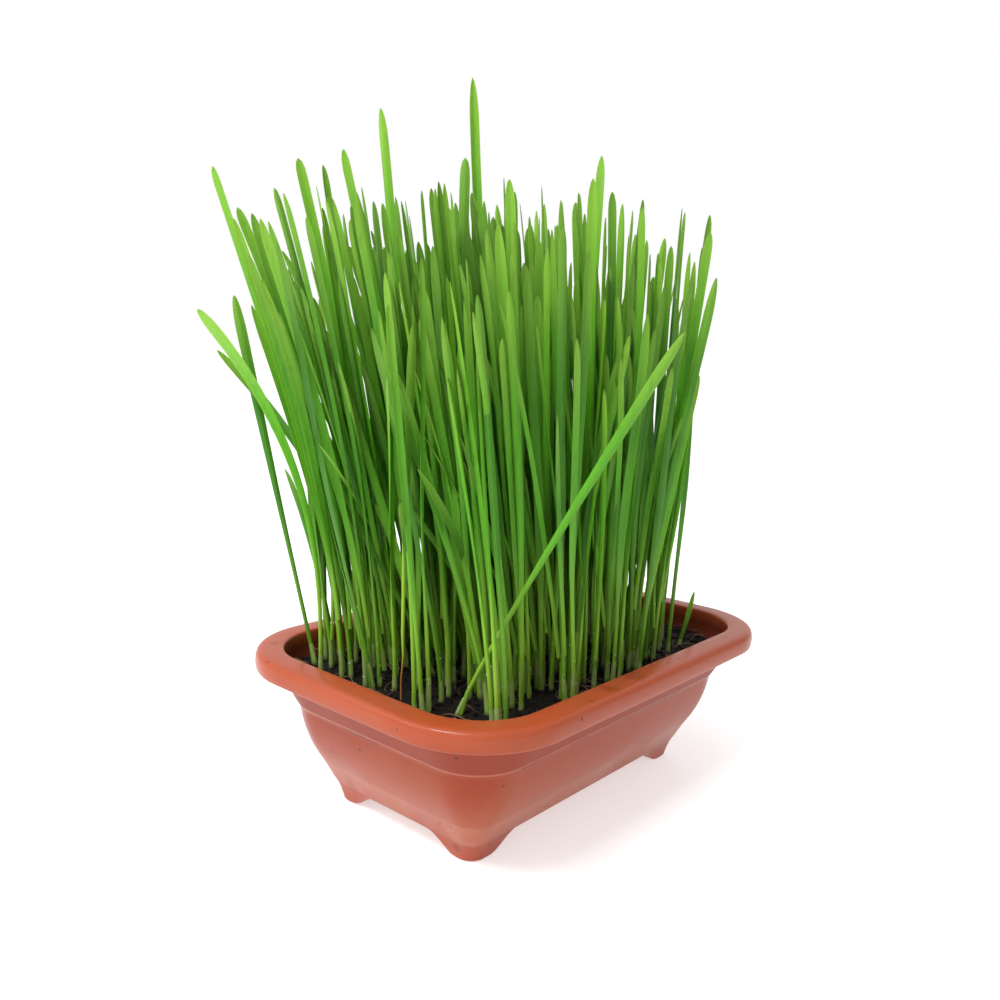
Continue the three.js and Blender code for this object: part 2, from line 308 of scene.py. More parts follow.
class GeometryBench(NodeBench):
    """Builds one Geometry Nodes tree with named inputs."""

    LEVEL_ENOUGH: ClassVar[float] = 0.6

    def __init__(self, name: str) -> None:
        """Starts a tree that takes geometry and gives geometry.

        Args:
            name: The tree's name.
        """
        super().__init__(bpy.data.node_groups.new(name, "GeometryNodeTree"))
        for way in ("INPUT", "OUTPUT"):
            self.tree.interface.new_socket("Geometry", in_out=way,
                                           socket_type="NodeSocketGeometry")
        self.source = self.add("NodeGroupInput")
        self.result = self.add("NodeGroupOutput")

    def size(self, name: str, kind: str, value: Any) -> Socket:
        """Adds a named input.

        Args:
            name: The input's name.
            kind: The socket type, such as NodeSocketFloat.
            value: Its value unless a modifier sets another, or None.

        Returns:
            The output to read it from.
        """
        made = self.tree.interface.new_socket(name, in_out="INPUT", socket_type=kind)
        if value is not None:
            made.default_value = value
        return self.source.outputs[name]

    def read(self, name: str, kind: str = "FLOAT") -> Socket:
        """Returns a named attribute of the geometry."""
        node = self.add("GeometryNodeInputNamedAttribute", data_type=kind)
        node.inputs["Name"].default_value = name
        return node.outputs["Attribute"]

    def store(self, geometry: Any, name: str, value: Any, kind: str = "FLOAT") -> Socket:
        """Stores a value on each point.

        Args:
            geometry: The geometry that carries it.
            name: Its name.
            value: The value.
            kind: The attribute's type.

        Returns:
            The geometry.
        """
        node = self.add("GeometryNodeStoreNamedAttribute", data_type=kind, domain="POINT")
        self.feed(node.inputs["Geometry"], geometry)
        node.inputs["Name"].default_value = name
        self.feed(node.inputs["Value"], value)
        return node.outputs["Geometry"]

    def chain(self, kind: str, geometry: Any, inputs: dict[str, Any] | None = None,
              **settings: Any) -> Socket:
        """Adds a node that takes geometry at its first input.

        Args:
            kind: The node's type name.
            geometry: The geometry that goes in.
            inputs: Its other inputs, by name.
            settings: Properties of the node, by name.

        Returns:
            The node's first output.
        """
        node = self.add(kind, **settings)
        self.feed(node.inputs[0], geometry)
        for name, value in (inputs or {}).items():
            self.feed(node.inputs[name], value)
        return node.outputs[0]

    def facing_up(self) -> Socket:
        """Returns where the surface faces upwards."""
        up = self.parts(self.add("GeometryNodeInputNormal").outputs[0])[2]
        return self.math("GREATER_THAN", up, self.LEVEL_ENOUGH)

    def strewn(self, mesh: Any, where: Any, density: Any, seed: int) -> Socket:
        """Scatters points over a mesh.

        Args:
            mesh: The mesh.
            where: Which of its faces.
            density: Points per square metre.
            seed: The fixed seed.

        Returns:
            The points.
        """
        node = self.add("GeometryNodeDistributePointsOnFaces")
        for label, value in (("Mesh", mesh), ("Selection", where), ("Density", density),
                             ("Seed", seed)):
            self.feed(node.inputs[label], value)
        return node.outputs["Points"]

    def set_on(self, points: Any, shape: Any, inputs: dict[str, Any]) -> Socket:
        """Sets a copy of a shape on each point.

        Args:
            points: The points.
            shape: The shape.
            inputs: The copies' turn and scale.

        Returns:
            The copies.
        """
        return self.chain("GeometryNodeInstanceOnPoints", points, {"Instance": shape, **inputs})

    def ball(self, radius: Any, subdivisions: int) -> Socket:
        """Returns a round ball of triangles."""
        node = self.add("GeometryNodeMeshIcoSphere")
        self.feed(node.inputs["Subdivisions"], subdivisions)
        self.feed(node.inputs["Radius"], radius)
        return node.outputs[0]

    def hoop(self, resolution: Any, radius: float) -> Socket:
        """Returns a circle, which is a profile for a sweep."""
        node = self.add("GeometryNodeCurvePrimitiveCircle")
        self.feed(node.inputs["Resolution"], resolution)
        self.feed(node.inputs["Radius"], radius)
        return node.outputs[0]

    def between(self, low: float, high: float, seed: int) -> Socket:
        """Returns a random number for each element, with a fixed seed."""
        node = self.add("FunctionNodeRandomValue", data_type="FLOAT")
        for socket, value in ((2, low), (3, high), ("Seed", seed)):
            self.feed(node.inputs[socket], value)
        return node.outputs[1]

    def turned(self, low: Point, high: Point, seed: int) -> Socket:
        """Returns a random turn for each element, with a fixed seed."""
        node = self.add("FunctionNodeRandomValue", data_type="FLOAT_VECTOR")
        for socket, value in ((0, low), (1, high), ("Seed", seed)):
            self.feed(node.inputs[socket], value)
        return node.outputs[0]

    def finish(self, geometry: Any, material: Any) -> bpy.types.NodeTree:
        """Ends the tree in Realize Instances and Set Material, and returns it."""
        real = self.chain("GeometryNodeRealizeInstances", geometry)
        dressed = self.chain("GeometryNodeSetMaterial", real, {"Material": material})
        self.feed(self.result.inputs["Geometry"], dressed)
        return self.tree


# ---- Mesh helpers ----


def tray_middle() -> Vector:
    """Returns the middle of the tray at table level, in metres in the row's frame."""
    low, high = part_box("tray")
    return Vector(((low[0] + high[0]) / 2, (low[1] + high[1]) / 2, 0.0))


TRAY_MIDDLE = tray_middle()


def in_row(points: np.ndarray) -> np.ndarray:
    """Turns millimetres from the tray's middle into metres in the row's frame."""
    return np.asarray(points, float) * MM + np.array(TRAY_MIDDLE)


def linked(name: str, mesh: bpy.types.Mesh) -> bpy.types.Object:
    """Makes an object of the mesh and links it to the scene."""
    made = bpy.data.objects.new(name, mesh)
    bpy.context.scene.collection.objects.link(made)
    return made


def tidied(mesh: bpy.types.Mesh, smooth_below: float) -> bpy.types.Mesh:
    """Merges doubles, points faces outwards and shades smooth except across sharp edges.

    Args:
        mesh: Closed surfaces.
        smooth_below: The angle in degrees from which an edge stays sharp.

    Returns:
        The same mesh.
    """
    work = bmesh.new()
    work.from_mesh(mesh)
    bmesh.ops.remove_doubles(work, verts=work.verts, dist=1e-7)
    bmesh.ops.recalc_face_normals(work, faces=work.faces)
    work.to_mesh(mesh)
    work.free()
    mesh.polygons.foreach_set("use_smooth", [True] * len(mesh.polygons))
    mesh.set_sharp_from_angle(angle=math.radians(smooth_below))
    mesh.update()
    return mesh


def lofted(name: str, rings: Sequence[np.ndarray], start: Point, end: Point) -> bpy.types.Mesh:
    """Closes a surface through rings of equal count and fans it shut at both ends.

    Args:
        name: The mesh's name.
        rings: Rows of points in millimetres from the tray's middle.
        start: The point that closes the first ring.
        end: The point that closes the last ring.

    Returns:
        The mesh, in metres in the row's frame.
    """
    count = len(rings[0])
    points = in_row(np.vstack([*rings, [start], [end]]))
    first, last = len(points) - 2, len(points) - 1
    faces: list[tuple[int, ...]] = []
    for row in range(len(rings) - 1):
        base = row * count
        for i in range(count):
            j = (i + 1) % count
            faces.append((base + i, base + j, base + count + j, base + count + i))
    top = (len(rings) - 1) * count
    for i in range(count):
        j = (i + 1) % count
        faces.append((first, j, i))
        faces.append((last, top + i, top + j))
    mesh = bpy.data.meshes.new(name)
    mesh.from_pydata([tuple(p) for p in points], [], faces)
    return mesh


def woven(plans: dict[str, bpy.types.Mesh], tree: bpy.types.NodeTree,
          inputs: dict[str, Any]) -> dict[str, bpy.types.Mesh]:
    """Runs a Geometry Nodes tree on meshes and keeps the results as plain meshes.

    Args:
        plans: The meshes that go in, by the results' names.
        tree: The tree.
        inputs: Values of the tree's inputs, by their names.

    Returns:
        The resulting meshes, by name.
    """
    carriers: dict[str, bpy.types.Object] = {}
    for name, plan in plans.items():
        carrier = linked(name + "_plan", plan)
        modifier = carrier.modifiers.new("grow", "NODES")
        modifier.node_group = tree
        for item in tree.interface.items_tree:
            if item.item_type == "SOCKET" and item.in_out == "INPUT" and item.name in inputs:
                modifier[item.identifier] = inputs[item.name]
        carriers[name] = carrier
    graph = bpy.context.evaluated_depsgraph_get()
    meshes: dict[str, bpy.types.Mesh] = {}
    for name, carrier in carriers.items():
        meshes[name] = bpy.data.meshes.new_from_object(
            carrier.evaluated_get(graph), preserve_all_data_layers=True, depsgraph=graph)
        meshes[name].name = name
    for name, carrier in carriers.items():
        carrier.modifiers.clear()
        bpy.data.objects.remove(carrier)
        bpy.data.meshes.remove(plans[name])
    return meshes


def stripped(mesh: bpy.types.Mesh, labels: Iterable[str]) -> None:
    """Removes the named attributes that a mesh has."""
    for label in labels:
        if label in mesh.attributes:
            mesh.attributes.remove(mesh.attributes[label])


def settled(piece: bpy.types.Object,
            stands_for: Iterable[str] = ()) -> bpy.types.Object:
    """Rides a finished piece on the body and hides the CAD nodes that it replaces.

    Args:
        piece: The finished object.
        stands_for: CAD nodes that it replaces.

    Returns:
        The same object.
    """
    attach(piece, BODY)
    nodes = list(stands_for)
    if nodes:
        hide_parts(*nodes)
    log.info("%s: %d triangles", piece.name, sum(len(p.vertices) - 2 for p in piece.data.polygons))
    return piece


# ---- Finishes ----


@dataclass(frozen=True)
class MouldedPlastic:
    """Terracotta-coloured tray plastic with dust, soil specks, water marks, and painted light and
    shade.

    Fades and bands are heights over the table in millimetres: where a fade starts and ends, or a
    band's middle, its half height and its soft edge.
    """

    name: str = "moulded_plastic"
    clean: Colour = (0.305, 0.043, 0.013)
    dusty: Colour = (0.345, 0.080, 0.031)
    # Darker plastic colour for the neck band under the lip: painted shade.
    neck: Colour = (0.235, 0.030, 0.010)
    # Lighter copy of the plastic colour for the lip: painted light on the rim.
    lip: Colour = (0.335, 0.060, 0.022)
    lip_dust: Colour = (0.400, 0.100, 0.050)
    foot: Colour = (0.38, 0.085, 0.045)
    # Pale colour: a painted highlight along the ridge, and a patchy paler tone on the skirt band.
    edge: Colour = (0.50, 0.21, 0.14)
    # Dark soil colour for the specks, also used for painted shade in the groove under the ridge.
    dirt_and_groove_shade: Colour = (0.085, 0.022, 0.013)
    wet: Colour = (0.37, 0.062, 0.020)
    rust: Colour = (0.22, 0.035, 0.010)
    # Darker plastic colour for the inside wall: painted shade.
    inside_shade: Colour = (0.17, 0.024, 0.014)
    lower_fade: Range = (45.0, 10.0)
    foot_fade: Range = (8.2, 6.0)
    lip_fade: Range = (57.2, 57.9)
    rim_fade: Range = (65.2, 65.9)
    skirt_band: Point = (13.0, 4.6, 1.6)
    neck_band: Point = (50.5, 6.6, 1.2)
    ridge_highlight_band: Point = (43.1, 0.25, 0.35)
    groove_shade_and_grime_band: Point = (42.0, 0.2, 0.5)
    least_dusting: float = 0.35
    lower_dusting: float = 0.55
    lip_dusting: float = 0.7
    neck_shade_share: float = 0.85
    foot_share: float = 0.75
    wet_share: float = 0.8
    inside_shade_share: float = 0.9
    ridge_highlight_share: float = 0.32
    groove_shade_and_grime_share: float = 0.6
    film_share: float = 0.25
    rust_share: float = 0.75
    speck_share: float = 0.8
    speck_chances: Spot = (0.82, 0.90)
    raggedness: float = 2.4
    roughness: float = 0.27
    neck_roughness: float = 0.3
    dust_roughness: float = 0.22
    grain_depth: float = 0.000012
    ripple_depth: float = 0.00012
    speck_depth: float = 0.0002
    # Where soil water left a stain, from the tray's middle, and how wide. Millimetres.
    stains: tuple[tuple[Point, float], ...] = (
        ((-37, -71, 8), 3.0), ((-34, -71, 4), 1.8), ((31, -72, 5), 2.6), ((36, -68, 7), 1.6),
        ((33, -77, 16), 1.3), ((24, -74, 13), 1.1), ((69, -45, 66), 1.3), ((67, -30, 66), 4.5),
        ((66, -12, 66), 5.5), ((-56, -89, 66), 2.2), ((41, -31, 11), 1.2), ((45, -8, 14), 1.2),
        ((52, 12, 24), 1.1), ((14, -80, 22), 1.0), ((-12, -84, 27), 1.0), ((66, 62, 66), 2.0),
    )

    def material(self) -> bpy.types.Material:
        """Builds the material.

        Returns:
            The material.
        """
        p = Palette(self.name)
        place = p.place()
        height = p.math("DIVIDE", p.parts(place)[2], MM)
        clouds = p.noise(place, 22.0, 4.0, 0.55, 0.4)
        film = p.noise(p.stretched(place, (1.0, 1.0, 0.35)), 60.0, 4.0, 0.6)
        lower = p.times(p.span(height, *self.lower_fade), self.lower_dusting)
        dusting = p.times(p.span(clouds, 0.35, 0.68), p.plus(self.least_dusting, lower))
        skirt = p.times(p.band(height, *self.skirt_band), p.span(film, 0.3, 0.6, 0.1, 0.35))
        in_neck = p.band(height, *self.neck_band)
        lip = p.laid(self.lip, self.lip_dust, dusting, self.lip_dusting)
        puddles = p.span(p.noise(place, 45.0, 5.0, 0.6, 0.6), 0.44, 0.60)
        on_top = p.times(p.span(height, *self.rim_fade), puddles)
        # Painted shade in the groove under the ridge step, patchy, with some real dirt.
        groove_shade_and_grime = p.times(p.band(height, *self.groove_shade_and_grime_band), p.span(film, 0.42, 0.62))
        speck = self._specks(p, place)
        colour = p.mix(dusting, self.clean, self.dusty)
        colour = p.mix(skirt, colour, self.edge)
        # Painted shade: the neck band under the lip is laid darker.
        colour = p.laid(colour, self.neck, in_neck, self.neck_shade_share)
        colour = p.laid(colour, self.foot, p.span(height, *self.foot_fade), self.foot_share)
        # Painted light: the lip takes its lighter copy of the plastic, with its real dust.
        colour = p.mix(p.span(height, *self.lip_fade), colour, lip)
        colour = p.laid(colour, self.wet, on_top, self.wet_share)
        # Painted shade: the inside wall is laid darker.
        colour = p.laid(colour, self.inside_shade, p.attribute("inside"), self.inside_shade_share)
        # Painted highlight: a pale line along the ridge.
        colour = p.laid(colour, self.edge, p.band(height, *self.ridge_highlight_band), self.ridge_highlight_share)
        # Painted shade and some dirt in the groove under the ridge.
        colour = p.laid(colour, self.dirt_and_groove_shade, groove_shade_and_grime, self.groove_shade_and_grime_share)
        colour = p.laid(colour, self.dusty, p.span(film, 0.55, 0.8), self.film_share)
        colour = p.laid(colour, self.rust, self._stained(p, place), self.rust_share)
        colour = p.mix(speck, colour, self.dirt_and_groove_shade)
        wear = p.noise(p.stretched(place, (1.0, 1.0, 2.6)), 900.0, 3.0, 0.6)
        worn = p.times(p.plus(dusting, p.times(wear, 0.35)), self.dust_roughness)
        rough = p.plus(p.plus(self.roughness, worn), p.times(in_neck, self.neck_roughness),
                       clamp=True)
        grain = p.bump(p.noise(place, 2600.0, 2.0, 0.5), self.grain_depth)
        ripple = p.bump(p.noise(place, 90.0, 2.0, 0.5), self.ripple_depth, grain)
        p.set(Base_Color=colour, Roughness=rough,
              Normal=p.bump(speck, self.speck_depth, ripple), Specular_IOR_Level=0.13,
              Coat_Weight=0.20, Coat_Roughness=0.12, Subsurface_Weight=0.04,
              Subsurface_Scale=0.002)
        return p.material

    def _stained(self, p: Palette, place: Socket) -> Socket:
        """Finds where soil water left brown stains, with ragged edges.

        Args:
            p: The palette that the nodes go into.
            place: The object coordinates.

        Returns:
            A number from 0 to 1.
        """
        ragged = p.minus(p.noise(place, 700.0, 3.0, 0.6), 0.5)
        total: Any = 0.0
        for (x, y, z), radius in self.stains:
            node = p.add("ShaderNodeVectorMath", operation="DISTANCE")
            p.feed(node.inputs[0], place)
            p.feed(node.inputs[1], tuple(Vector((x, y, z)) * MM + TRAY_MIDDLE))
            away = p.plus(p.math("DIVIDE", node.outputs["Value"], radius * MM),
                          p.times(ragged, self.raggedness))
            total = p.plus(total, p.span(away, 1.0, 0.45), clamp=True)
        return total

    def _specks(self, p: Palette, place: Socket) -> Socket:
        """Finds where small flecks of soil stick to the plastic.

        Args:
            p: The palette that the nodes go into.
            place: The object coordinates.

        Returns:
            A number from 0 to 1.
        """
        total: Any = 0.0
        for scale, reach, chance in ((150.0, (0.13, 0.07), self.speck_chances[0]),
                                     (420.0, (0.12, 0.05), self.speck_chances[1])):
            away, pick = p.cells(place, scale)
            fleck = p.times(p.span(away, *reach), p.math("GREATER_THAN", pick, chance))
            total = p.plus(total, fleck, clamp=True)
        return p.times(total, self.speck_share)


@dataclass(frozen=True)
class PottingSoil:
    """Moist, nearly black potting soil with brown crumbs."""

    name: str = "potting_soil"
    wet: Colour = (0.0045, 0.0032, 0.0028)
    crumb: Colour = (0.020, 0.011, 0.0075)
    grit: Colour = (0.055, 0.032, 0.02)
    grit_share: float = 0.6
    dry_roughness: float = 0.88
    wet_gloss: float = 0.35
    lump_depth: float = 0.0012
    grit_depth: float = 0.0004

    def material(self) -> bpy.types.Material:
        """Builds the material.

        Returns:
            The material.
        """
        p = Palette(self.name)
        place = p.place()
        lumps = p.noise(place, 260.0, 5.0, 0.65)
        fine = p.noise(place, 1500.0, 3.0, 0.6)
        colour = p.mix(p.span(lumps, 0.48, 0.72), self.wet, self.crumb)
        colour = p.laid(colour, self.grit, p.span(fine, 0.62, 0.8), self.grit_share)
        rough = p.minus(self.dry_roughness, p.times(p.span(lumps, 0.5, 0.3), self.wet_gloss))
        relief = p.bump(fine, self.grit_depth, p.bump(lumps, self.lump_depth))
        p.set(Base_Color=colour, Roughness=rough, Normal=relief, Specular_IOR_Level=0.22)
        return p.material


@dataclass(frozen=True)
class LeafFinish:
    """Living leaf: pale stalk, green blade with fine veins, lighter tip, and painted light low
    down.

    Fades are millimetres over the soil, but for near_tip, which is a share of the leaf.
    """

    name: str = "wheat_leaf"
    # Pale green of the stalk bases, partly their own colour and partly painted light.
    base: Colour = (0.225, 0.405, 0.030)
    deep: Colour = (0.009, 0.105, 0.005)
    fresh: Colour = (0.078, 0.325, 0.008)
    tip: Colour = (0.195, 0.378, 0.036)
    sleeve: Colour = (0.30, 0.38, 0.13)
    soil: Colour = (0.022, 0.016, 0.008)
    yellow: Colour = (0.42, 0.55, 0.05)
    dry: Colour = (0.42, 0.17, 0.035)
    patchiness: float = 0.5
    veins_across: float = 34.0
    vein_share: float = 0.26
    vein_depth: float = 0.00004
    midrib: Range = (0.10, 0.02)
    midrib_share: float = 0.22
    near_tip: Range = (0.68, 1.0)
    tip_share: Spot = (0.42, 0.46)
    # Painted light that brightens the blades lower in the stand.
    painted_light_fade: Range = (150.0, 60.0)
    painted_light_share: float = 0.18
    pale_base_and_light_fade: Range = (76.0, 6.0)
    sleeve_share: float = 0.7
    soiled_fade: Range = (4.4, 1.2)
    soiled_share: float = 0.85
    streak_share: float = 0.18
    yellow_fade: Range = (90.0, 30.0)
    dry_fade: Range = (22.0, 13.0)
    roughness: float = 0.45

    def material(self) -> bpy.types.Material:
        """Builds the material.

        Returns:
            The material.
        """
        p = Palette(self.name)
        place = p.place()
        shade, along, across, rise, sleeve, dry = (
            p.attribute(label) for label in ("shade", "along", "across", "rise", "sleeve", "dry"))
        patch = p.noise(p.stretched(place, (1.0, 1.0, 0.25)), 160.0, 3.0, 0.55)
        tone = p.plus(shade, p.times(p.minus(patch, 0.5), self.patchiness))
        # Painted light: blades lower in the stand are toned brighter.
        painted_light_tone = p.plus(tone, p.times(p.span(rise, *self.painted_light_fade), self.painted_light_share))
        wave = p.math("SINE", p.times(across, self.veins_across))
        veins = p.times(p.plus(wave, 1.0), 0.5)
        midrib = p.span(p.math("ABSOLUTE", across), *self.midrib)
        lightened = p.plus(self.tip_share[0], p.times(shade, self.tip_share[1]))
        soiled = p.span(p.plus(rise, p.times(patch, 3.0)), *self.soiled_fade)
        streak = p.noise(p.stretched(place, (1.0, 1.0, 0.12)), 700.0, 2.0, 0.5)
        blade = p.mix(p.span(painted_light_tone, 0.05, 0.95), self.deep, self.fresh)
        blade = p.laid(blade, self.tip, veins, self.vein_share)
        blade = p.laid(blade, self.tip, midrib, self.midrib_share)
        blade = p.laid(blade, self.tip, p.span(along, *self.near_tip), lightened)
        # Pale stalk bases: partly their own colour, partly painted light low in the stand.
        blade = p.laid(blade, self.base, p.span(rise, *self.pale_base_and_light_fade),
                       p.span(tone, 0.0, 0.8, 0.35, 1.0))
        blade = p.laid(blade, self.sleeve, sleeve, self.sleeve_share)
        blade = p.laid(blade, self.soil, soiled, self.soiled_share)
        blade = p.laid(blade, self.deep, p.span(streak, 0.5, 0.75), self.streak_share)
        blade = p.laid(blade, self.yellow, dry, p.span(rise, *self.yellow_fade, 0.04, 0.5))
        blade = p.laid(blade, self.dry, dry, p.span(rise, *self.dry_fade))
        p.set(Base_Color=blade, Roughness=self.roughness, Normal=p.bump(veins, self.vein_depth),
              Specular_IOR_Level=0.24, Subsurface_Weight=0.14, Subsurface_Scale=0.002,
              Subsurface_Radius=(0.5, 1.0, 0.15))
        return p.material


@dataclass(frozen=True)
class Water:
    """Clear water."""

    name: str = "water"
    colour: Colour = (0.93, 0.97, 0.93)

    def material(self) -> bpy.types.Material:
        """Builds the material.

        Returns:
            The material.
        """
        p = Palette(self.name)
        p.set(Base_Color=(*self.colour, 1.0), Roughness=0.06, Specular_IOR_Level=0.7,
              Subsurface_Weight=0.3, Subsurface_Scale=0.001)
        return p.material


@dataclass(frozen=True)
class DryFibre:
    """Dry root fibre or husk, some of it paler."""

    name: str = "dry_fibre"
    pale: Colour = (0.22, 0.13, 0.065)
    dark: Colour = (0.10, 0.05, 0.025)
    grain_depth: float = 0.00003

    def material(self) -> bpy.types.Material:
        """Builds the material.

        Returns:
            The material.
        """
        p = Palette(self.name)
        place = p.place()
        colour = p.mix(p.span(p.noise(place, 90.0, 2.0), 0.35, 0.65), self.dark, self.pale)
        p.set(Base_Color=colour, Roughness=0.7,
              Normal=p.bump(p.noise(place, 4000.0, 2.0), self.grain_depth))
        return p.material


@dataclass(frozen=True)
class WhiteFloor:
    """Matt white studio floor that glows a little, so its shadows stay light."""

    name: str = "white_floor"
    brightness: float = 0.70
    glow: float = 0.55

    def material(self) -> bpy.types.Material:
        """Builds the material.

        Returns:
            The material.
        """
        p = Palette(self.name)
        p.set(Base_Color=(self.brightness,) * 3 + (1.0,), Roughness=0.9,
              Specular_IOR_Level=0.1, Emission_Color=(1.0, 1.0, 1.0, 1.0),
              Emission_Strength=self.glow)
        return p.material


# ---- Tray ----


@dataclass
class Tray:
    """Rectangular tray with a rounded lip, a belly and four corner feet. Sizes in millimetres."""

    half_x: float = 73.0
    half_y: float = 105.0
    corner: float = 38.0
    least_corner: float = 6.5
    least_straight: float = 0.2
    corner_steps: int = 14
    side_step: float = 2.6
    lip_bottom: float = 58.0
    neck_top: float = 8.8
    neck_foot: Spot = (17.2, 43.0)
    neck_step: float = 0.8
    shoulder: Spot = (27.0, 18.8)
    belly: Spot = (19.6, 29.5)
    skirt: Spot = (31.2, 12.0)
    skirt_foot: Spot = (33.25, 7.3)
    bottom_edge: Spot = (33.4, 6.7)
    foot_side: Spot = (33.7, 6.1)
    foot_tip: Spot = (34.8, 1.6)
    foot_level: float = 0.4
    floor_top: float = 9.0
    arch_short: Spot = (15.0, 29.0)
    arch_long: Spot = (46.0, 59.0)
    arch_ease: float = 6.0
    arch_steps: int = 40
    lowest_band: float = 11.0
    least_band: float = 1.3
    smooth_below: float = 50.0
    skirt_points: int = 9
    belly_points: int = 16
    edge_lift: float = 0.05
    band_gap: float = 0.3
    wave_up: float = 0.16
    wave_down: float = 0.05
    wave_out: float = 0.14
    finish: MouldedPlastic = field(default_factory=MouldedPlastic)

    # Insets of the rings under the floor.
    UNDER: ClassVar[tuple[float, ...]] = (
        70.0, 62.0, 59.0, 56.5, 54.0, 51.5, 49.0, 47.0, 45.0, 43.0, 41.0, 39.0, 37.6)
    # The lower edge's rounding: how far inwards, and how far up.
    EDGE: ClassVar[tuple[Spot, ...]] = ((1.7, 0.0), (0.95, 0.08), (0.42, 0.35), (0.1, 0.85))
    FOOT_SHARES: ClassVar[tuple[float, ...]] = (0.14, 0.24, 0.36, 0.48, 0.6, 0.7, 0.8, 0.9, 1.0)
    # The step at the ridge: change of inset, and change of height.
    STEP: ClassVar[tuple[Spot, ...]] = ((0.25, -0.15), (0.0, 0.1), (-0.35, 0.7))
    NECK_SHARES: ClassVar[tuple[float, ...]] = (0.25, 0.5, 0.75, 1.0)
    # Insets and heights of the lip, and of the inside wall.
    LIP: ClassVar[tuple[Spot, ...]] = (
        (8.3, 63.2), (7.9, 63.9), (7.2, 64.0), (3.5, 64.0), (2.95, 63.6), (2.8, 62.8),
        (2.5, 58.7), (2.3, 58.2), (1.9, 58.0), (1.2, 58.05), (0.75, 58.35), (0.52, 58.9),
        (0.3, 60.1), (0.2, 61.3), (0.24, 62.4), (0.36, 63.3), (0.56, 64.1), (0.9, 64.8),
        (1.4, 65.35), (2.0, 65.68), (2.75, 65.88), (3.8, 65.98), (6.5, 66.05), (9.0, 66.0),
        (10.6, 65.96), (11.15, 65.78), (11.45, 65.4), (11.6, 64.6))
    INSIDE: ClassVar[tuple[Spot, ...]] = (
        (11.9, 60.0), (12.1, 57.0), (14.9, 51.0), (19.8, 43.0), (21.4, 37.0), (23.9, 29.0),
        (27.4, 22.0), (30.6, 15.0), (33.4, 12.0), (35.4, 9.6), (36.4, 9.0))

    def rail(self) -> list[tuple[Spot, Spot]]:
        """Walks round the tray's outline, anticlockwise.

        Returns:
            The outline's anchor points and outward directions.
        """
        ax, ay = self.half_x - self.corner, self.half_y - self.corner
        rail: list[tuple[Spot, Spot]] = []
        sides = (((ax, -ay), (ax, ay), (1.0, 0.0)), ((ax, ay), (-ax, ay), (0.0, 1.0)),
                 ((-ax, ay), (-ax, -ay), (-1.0, 0.0)), ((-ax, -ay), (ax, -ay), (0.0, -1.0)))
        for turn, (start, end, out) in enumerate(sides):
            steps = max(2, round(math.dist(start, end) / self.side_step))
            for i in range(1, steps):
                t = i / steps
                anchor = (start[0] + (end[0] - start[0]) * t, start[1] + (end[1] - start[1]) * t)
                rail.append((anchor, out))
            for i in range(self.corner_steps + 1):
                angle = (turn + i / self.corner_steps) * math.pi / 2
                rail.append((end, (math.cos(angle), math.sin(angle))))
        return rail

    def ring(self, rail: Sequence[tuple[Spot, Spot]], insets: Sequence[float] | float,
             levels: Sequence[float] | float) -> np.ndarray:
        """Returns the points at an inset from the lip's widest line.

        Args:
            rail: The outline's anchors and directions.
            insets: One inset, or one for each point.
            levels: One height, or one for each point.

        Returns:
            An array of points.
        """
        inset = np.broadcast_to(np.asarray(insets, float), (len(rail),))
        level = np.broadcast_to(np.asarray(levels, float), (len(rail),))
        anchors = np.array([a for a, _ in rail])
        outs = np.array([o for _, o in rail])
        radius = np.maximum(self.corner - inset, self.least_corner)
        radius = np.minimum(radius, self.half_x - inset - self.least_straight)
        centre = np.stack([self.half_x - inset - radius, self.half_y - inset - radius], axis=1)
        flat = np.clip(anchors, -centre, centre) + outs * radius[:, None]
        return np.column_stack([flat, level])

    def arch(self, distance: np.ndarray | float, sizes: Spot) -> np.ndarray:
        """Returns how high the lower edge stands at a distance from a side's middle.

        Args:
            distance: Distance along the side from its middle.
            sizes: Half of the straight stretch, and half of the whole opening.

        Returns:
            The height over the table.
        """
        straight, opening = sizes
        t = np.linspace(0.0, 1.0, self.arch_steps)
        first, second, third, last = ((1 - t) ** 3, 3 * (1 - t) ** 2 * t, 3 * (1 - t) * t**2, t**3)
        along = (first * straight + second * (straight + self.arch_ease)
                 + third * (opening - self.arch_ease) + last * opening)
        top = self.bottom_edge[1]
        rise = first * top + second * top + third * self.foot_level
        return np.interp(np.abs(distance), along, rise)

    def underside(self, points: np.ndarray) -> np.ndarray:
        """Returns the height of the underside over each point."""
        return np.maximum(self.arch(points[:, 0], self.arch_short),
                          self.arch(points[:, 1], self.arch_long))

    def edge_levels(self, rail: Sequence[tuple[Spot, Spot]]) -> np.ndarray:
        """Works out how high the lower edge stands.

        Args:
            rail: The outline's anchors and directions.

        Returns:
            A height for each point of the outline.
        """
        straight = 0.999
        levels = np.zeros(len(rail))
        for i, ((ax, ay), (ox, oy)) in enumerate(rail):
            if abs(oy) > straight:
                levels[i] = self.arch(ax, self.arch_short)
            elif abs(ox) > straight:
                levels[i] = self.arch(ay, self.arch_long)
        return levels

    def outside(self) -> np.ndarray:
        """Draws the outer section from the foot up to the neck.

        Returns:
            Its insets and heights.
        """
        def arc(a: Spot, b: Spot, c: Spot, steps: int) -> list[Spot]:
            """Returns points of a quadratic curve after its first."""
            ts = [i / steps for i in range(1, steps + 1)]
            return [tuple((1 - t) ** 2 * a[k] + 2 * (1 - t) * t * b[k] + t * t * c[k]
                          for k in (0, 1)) for t in ts]

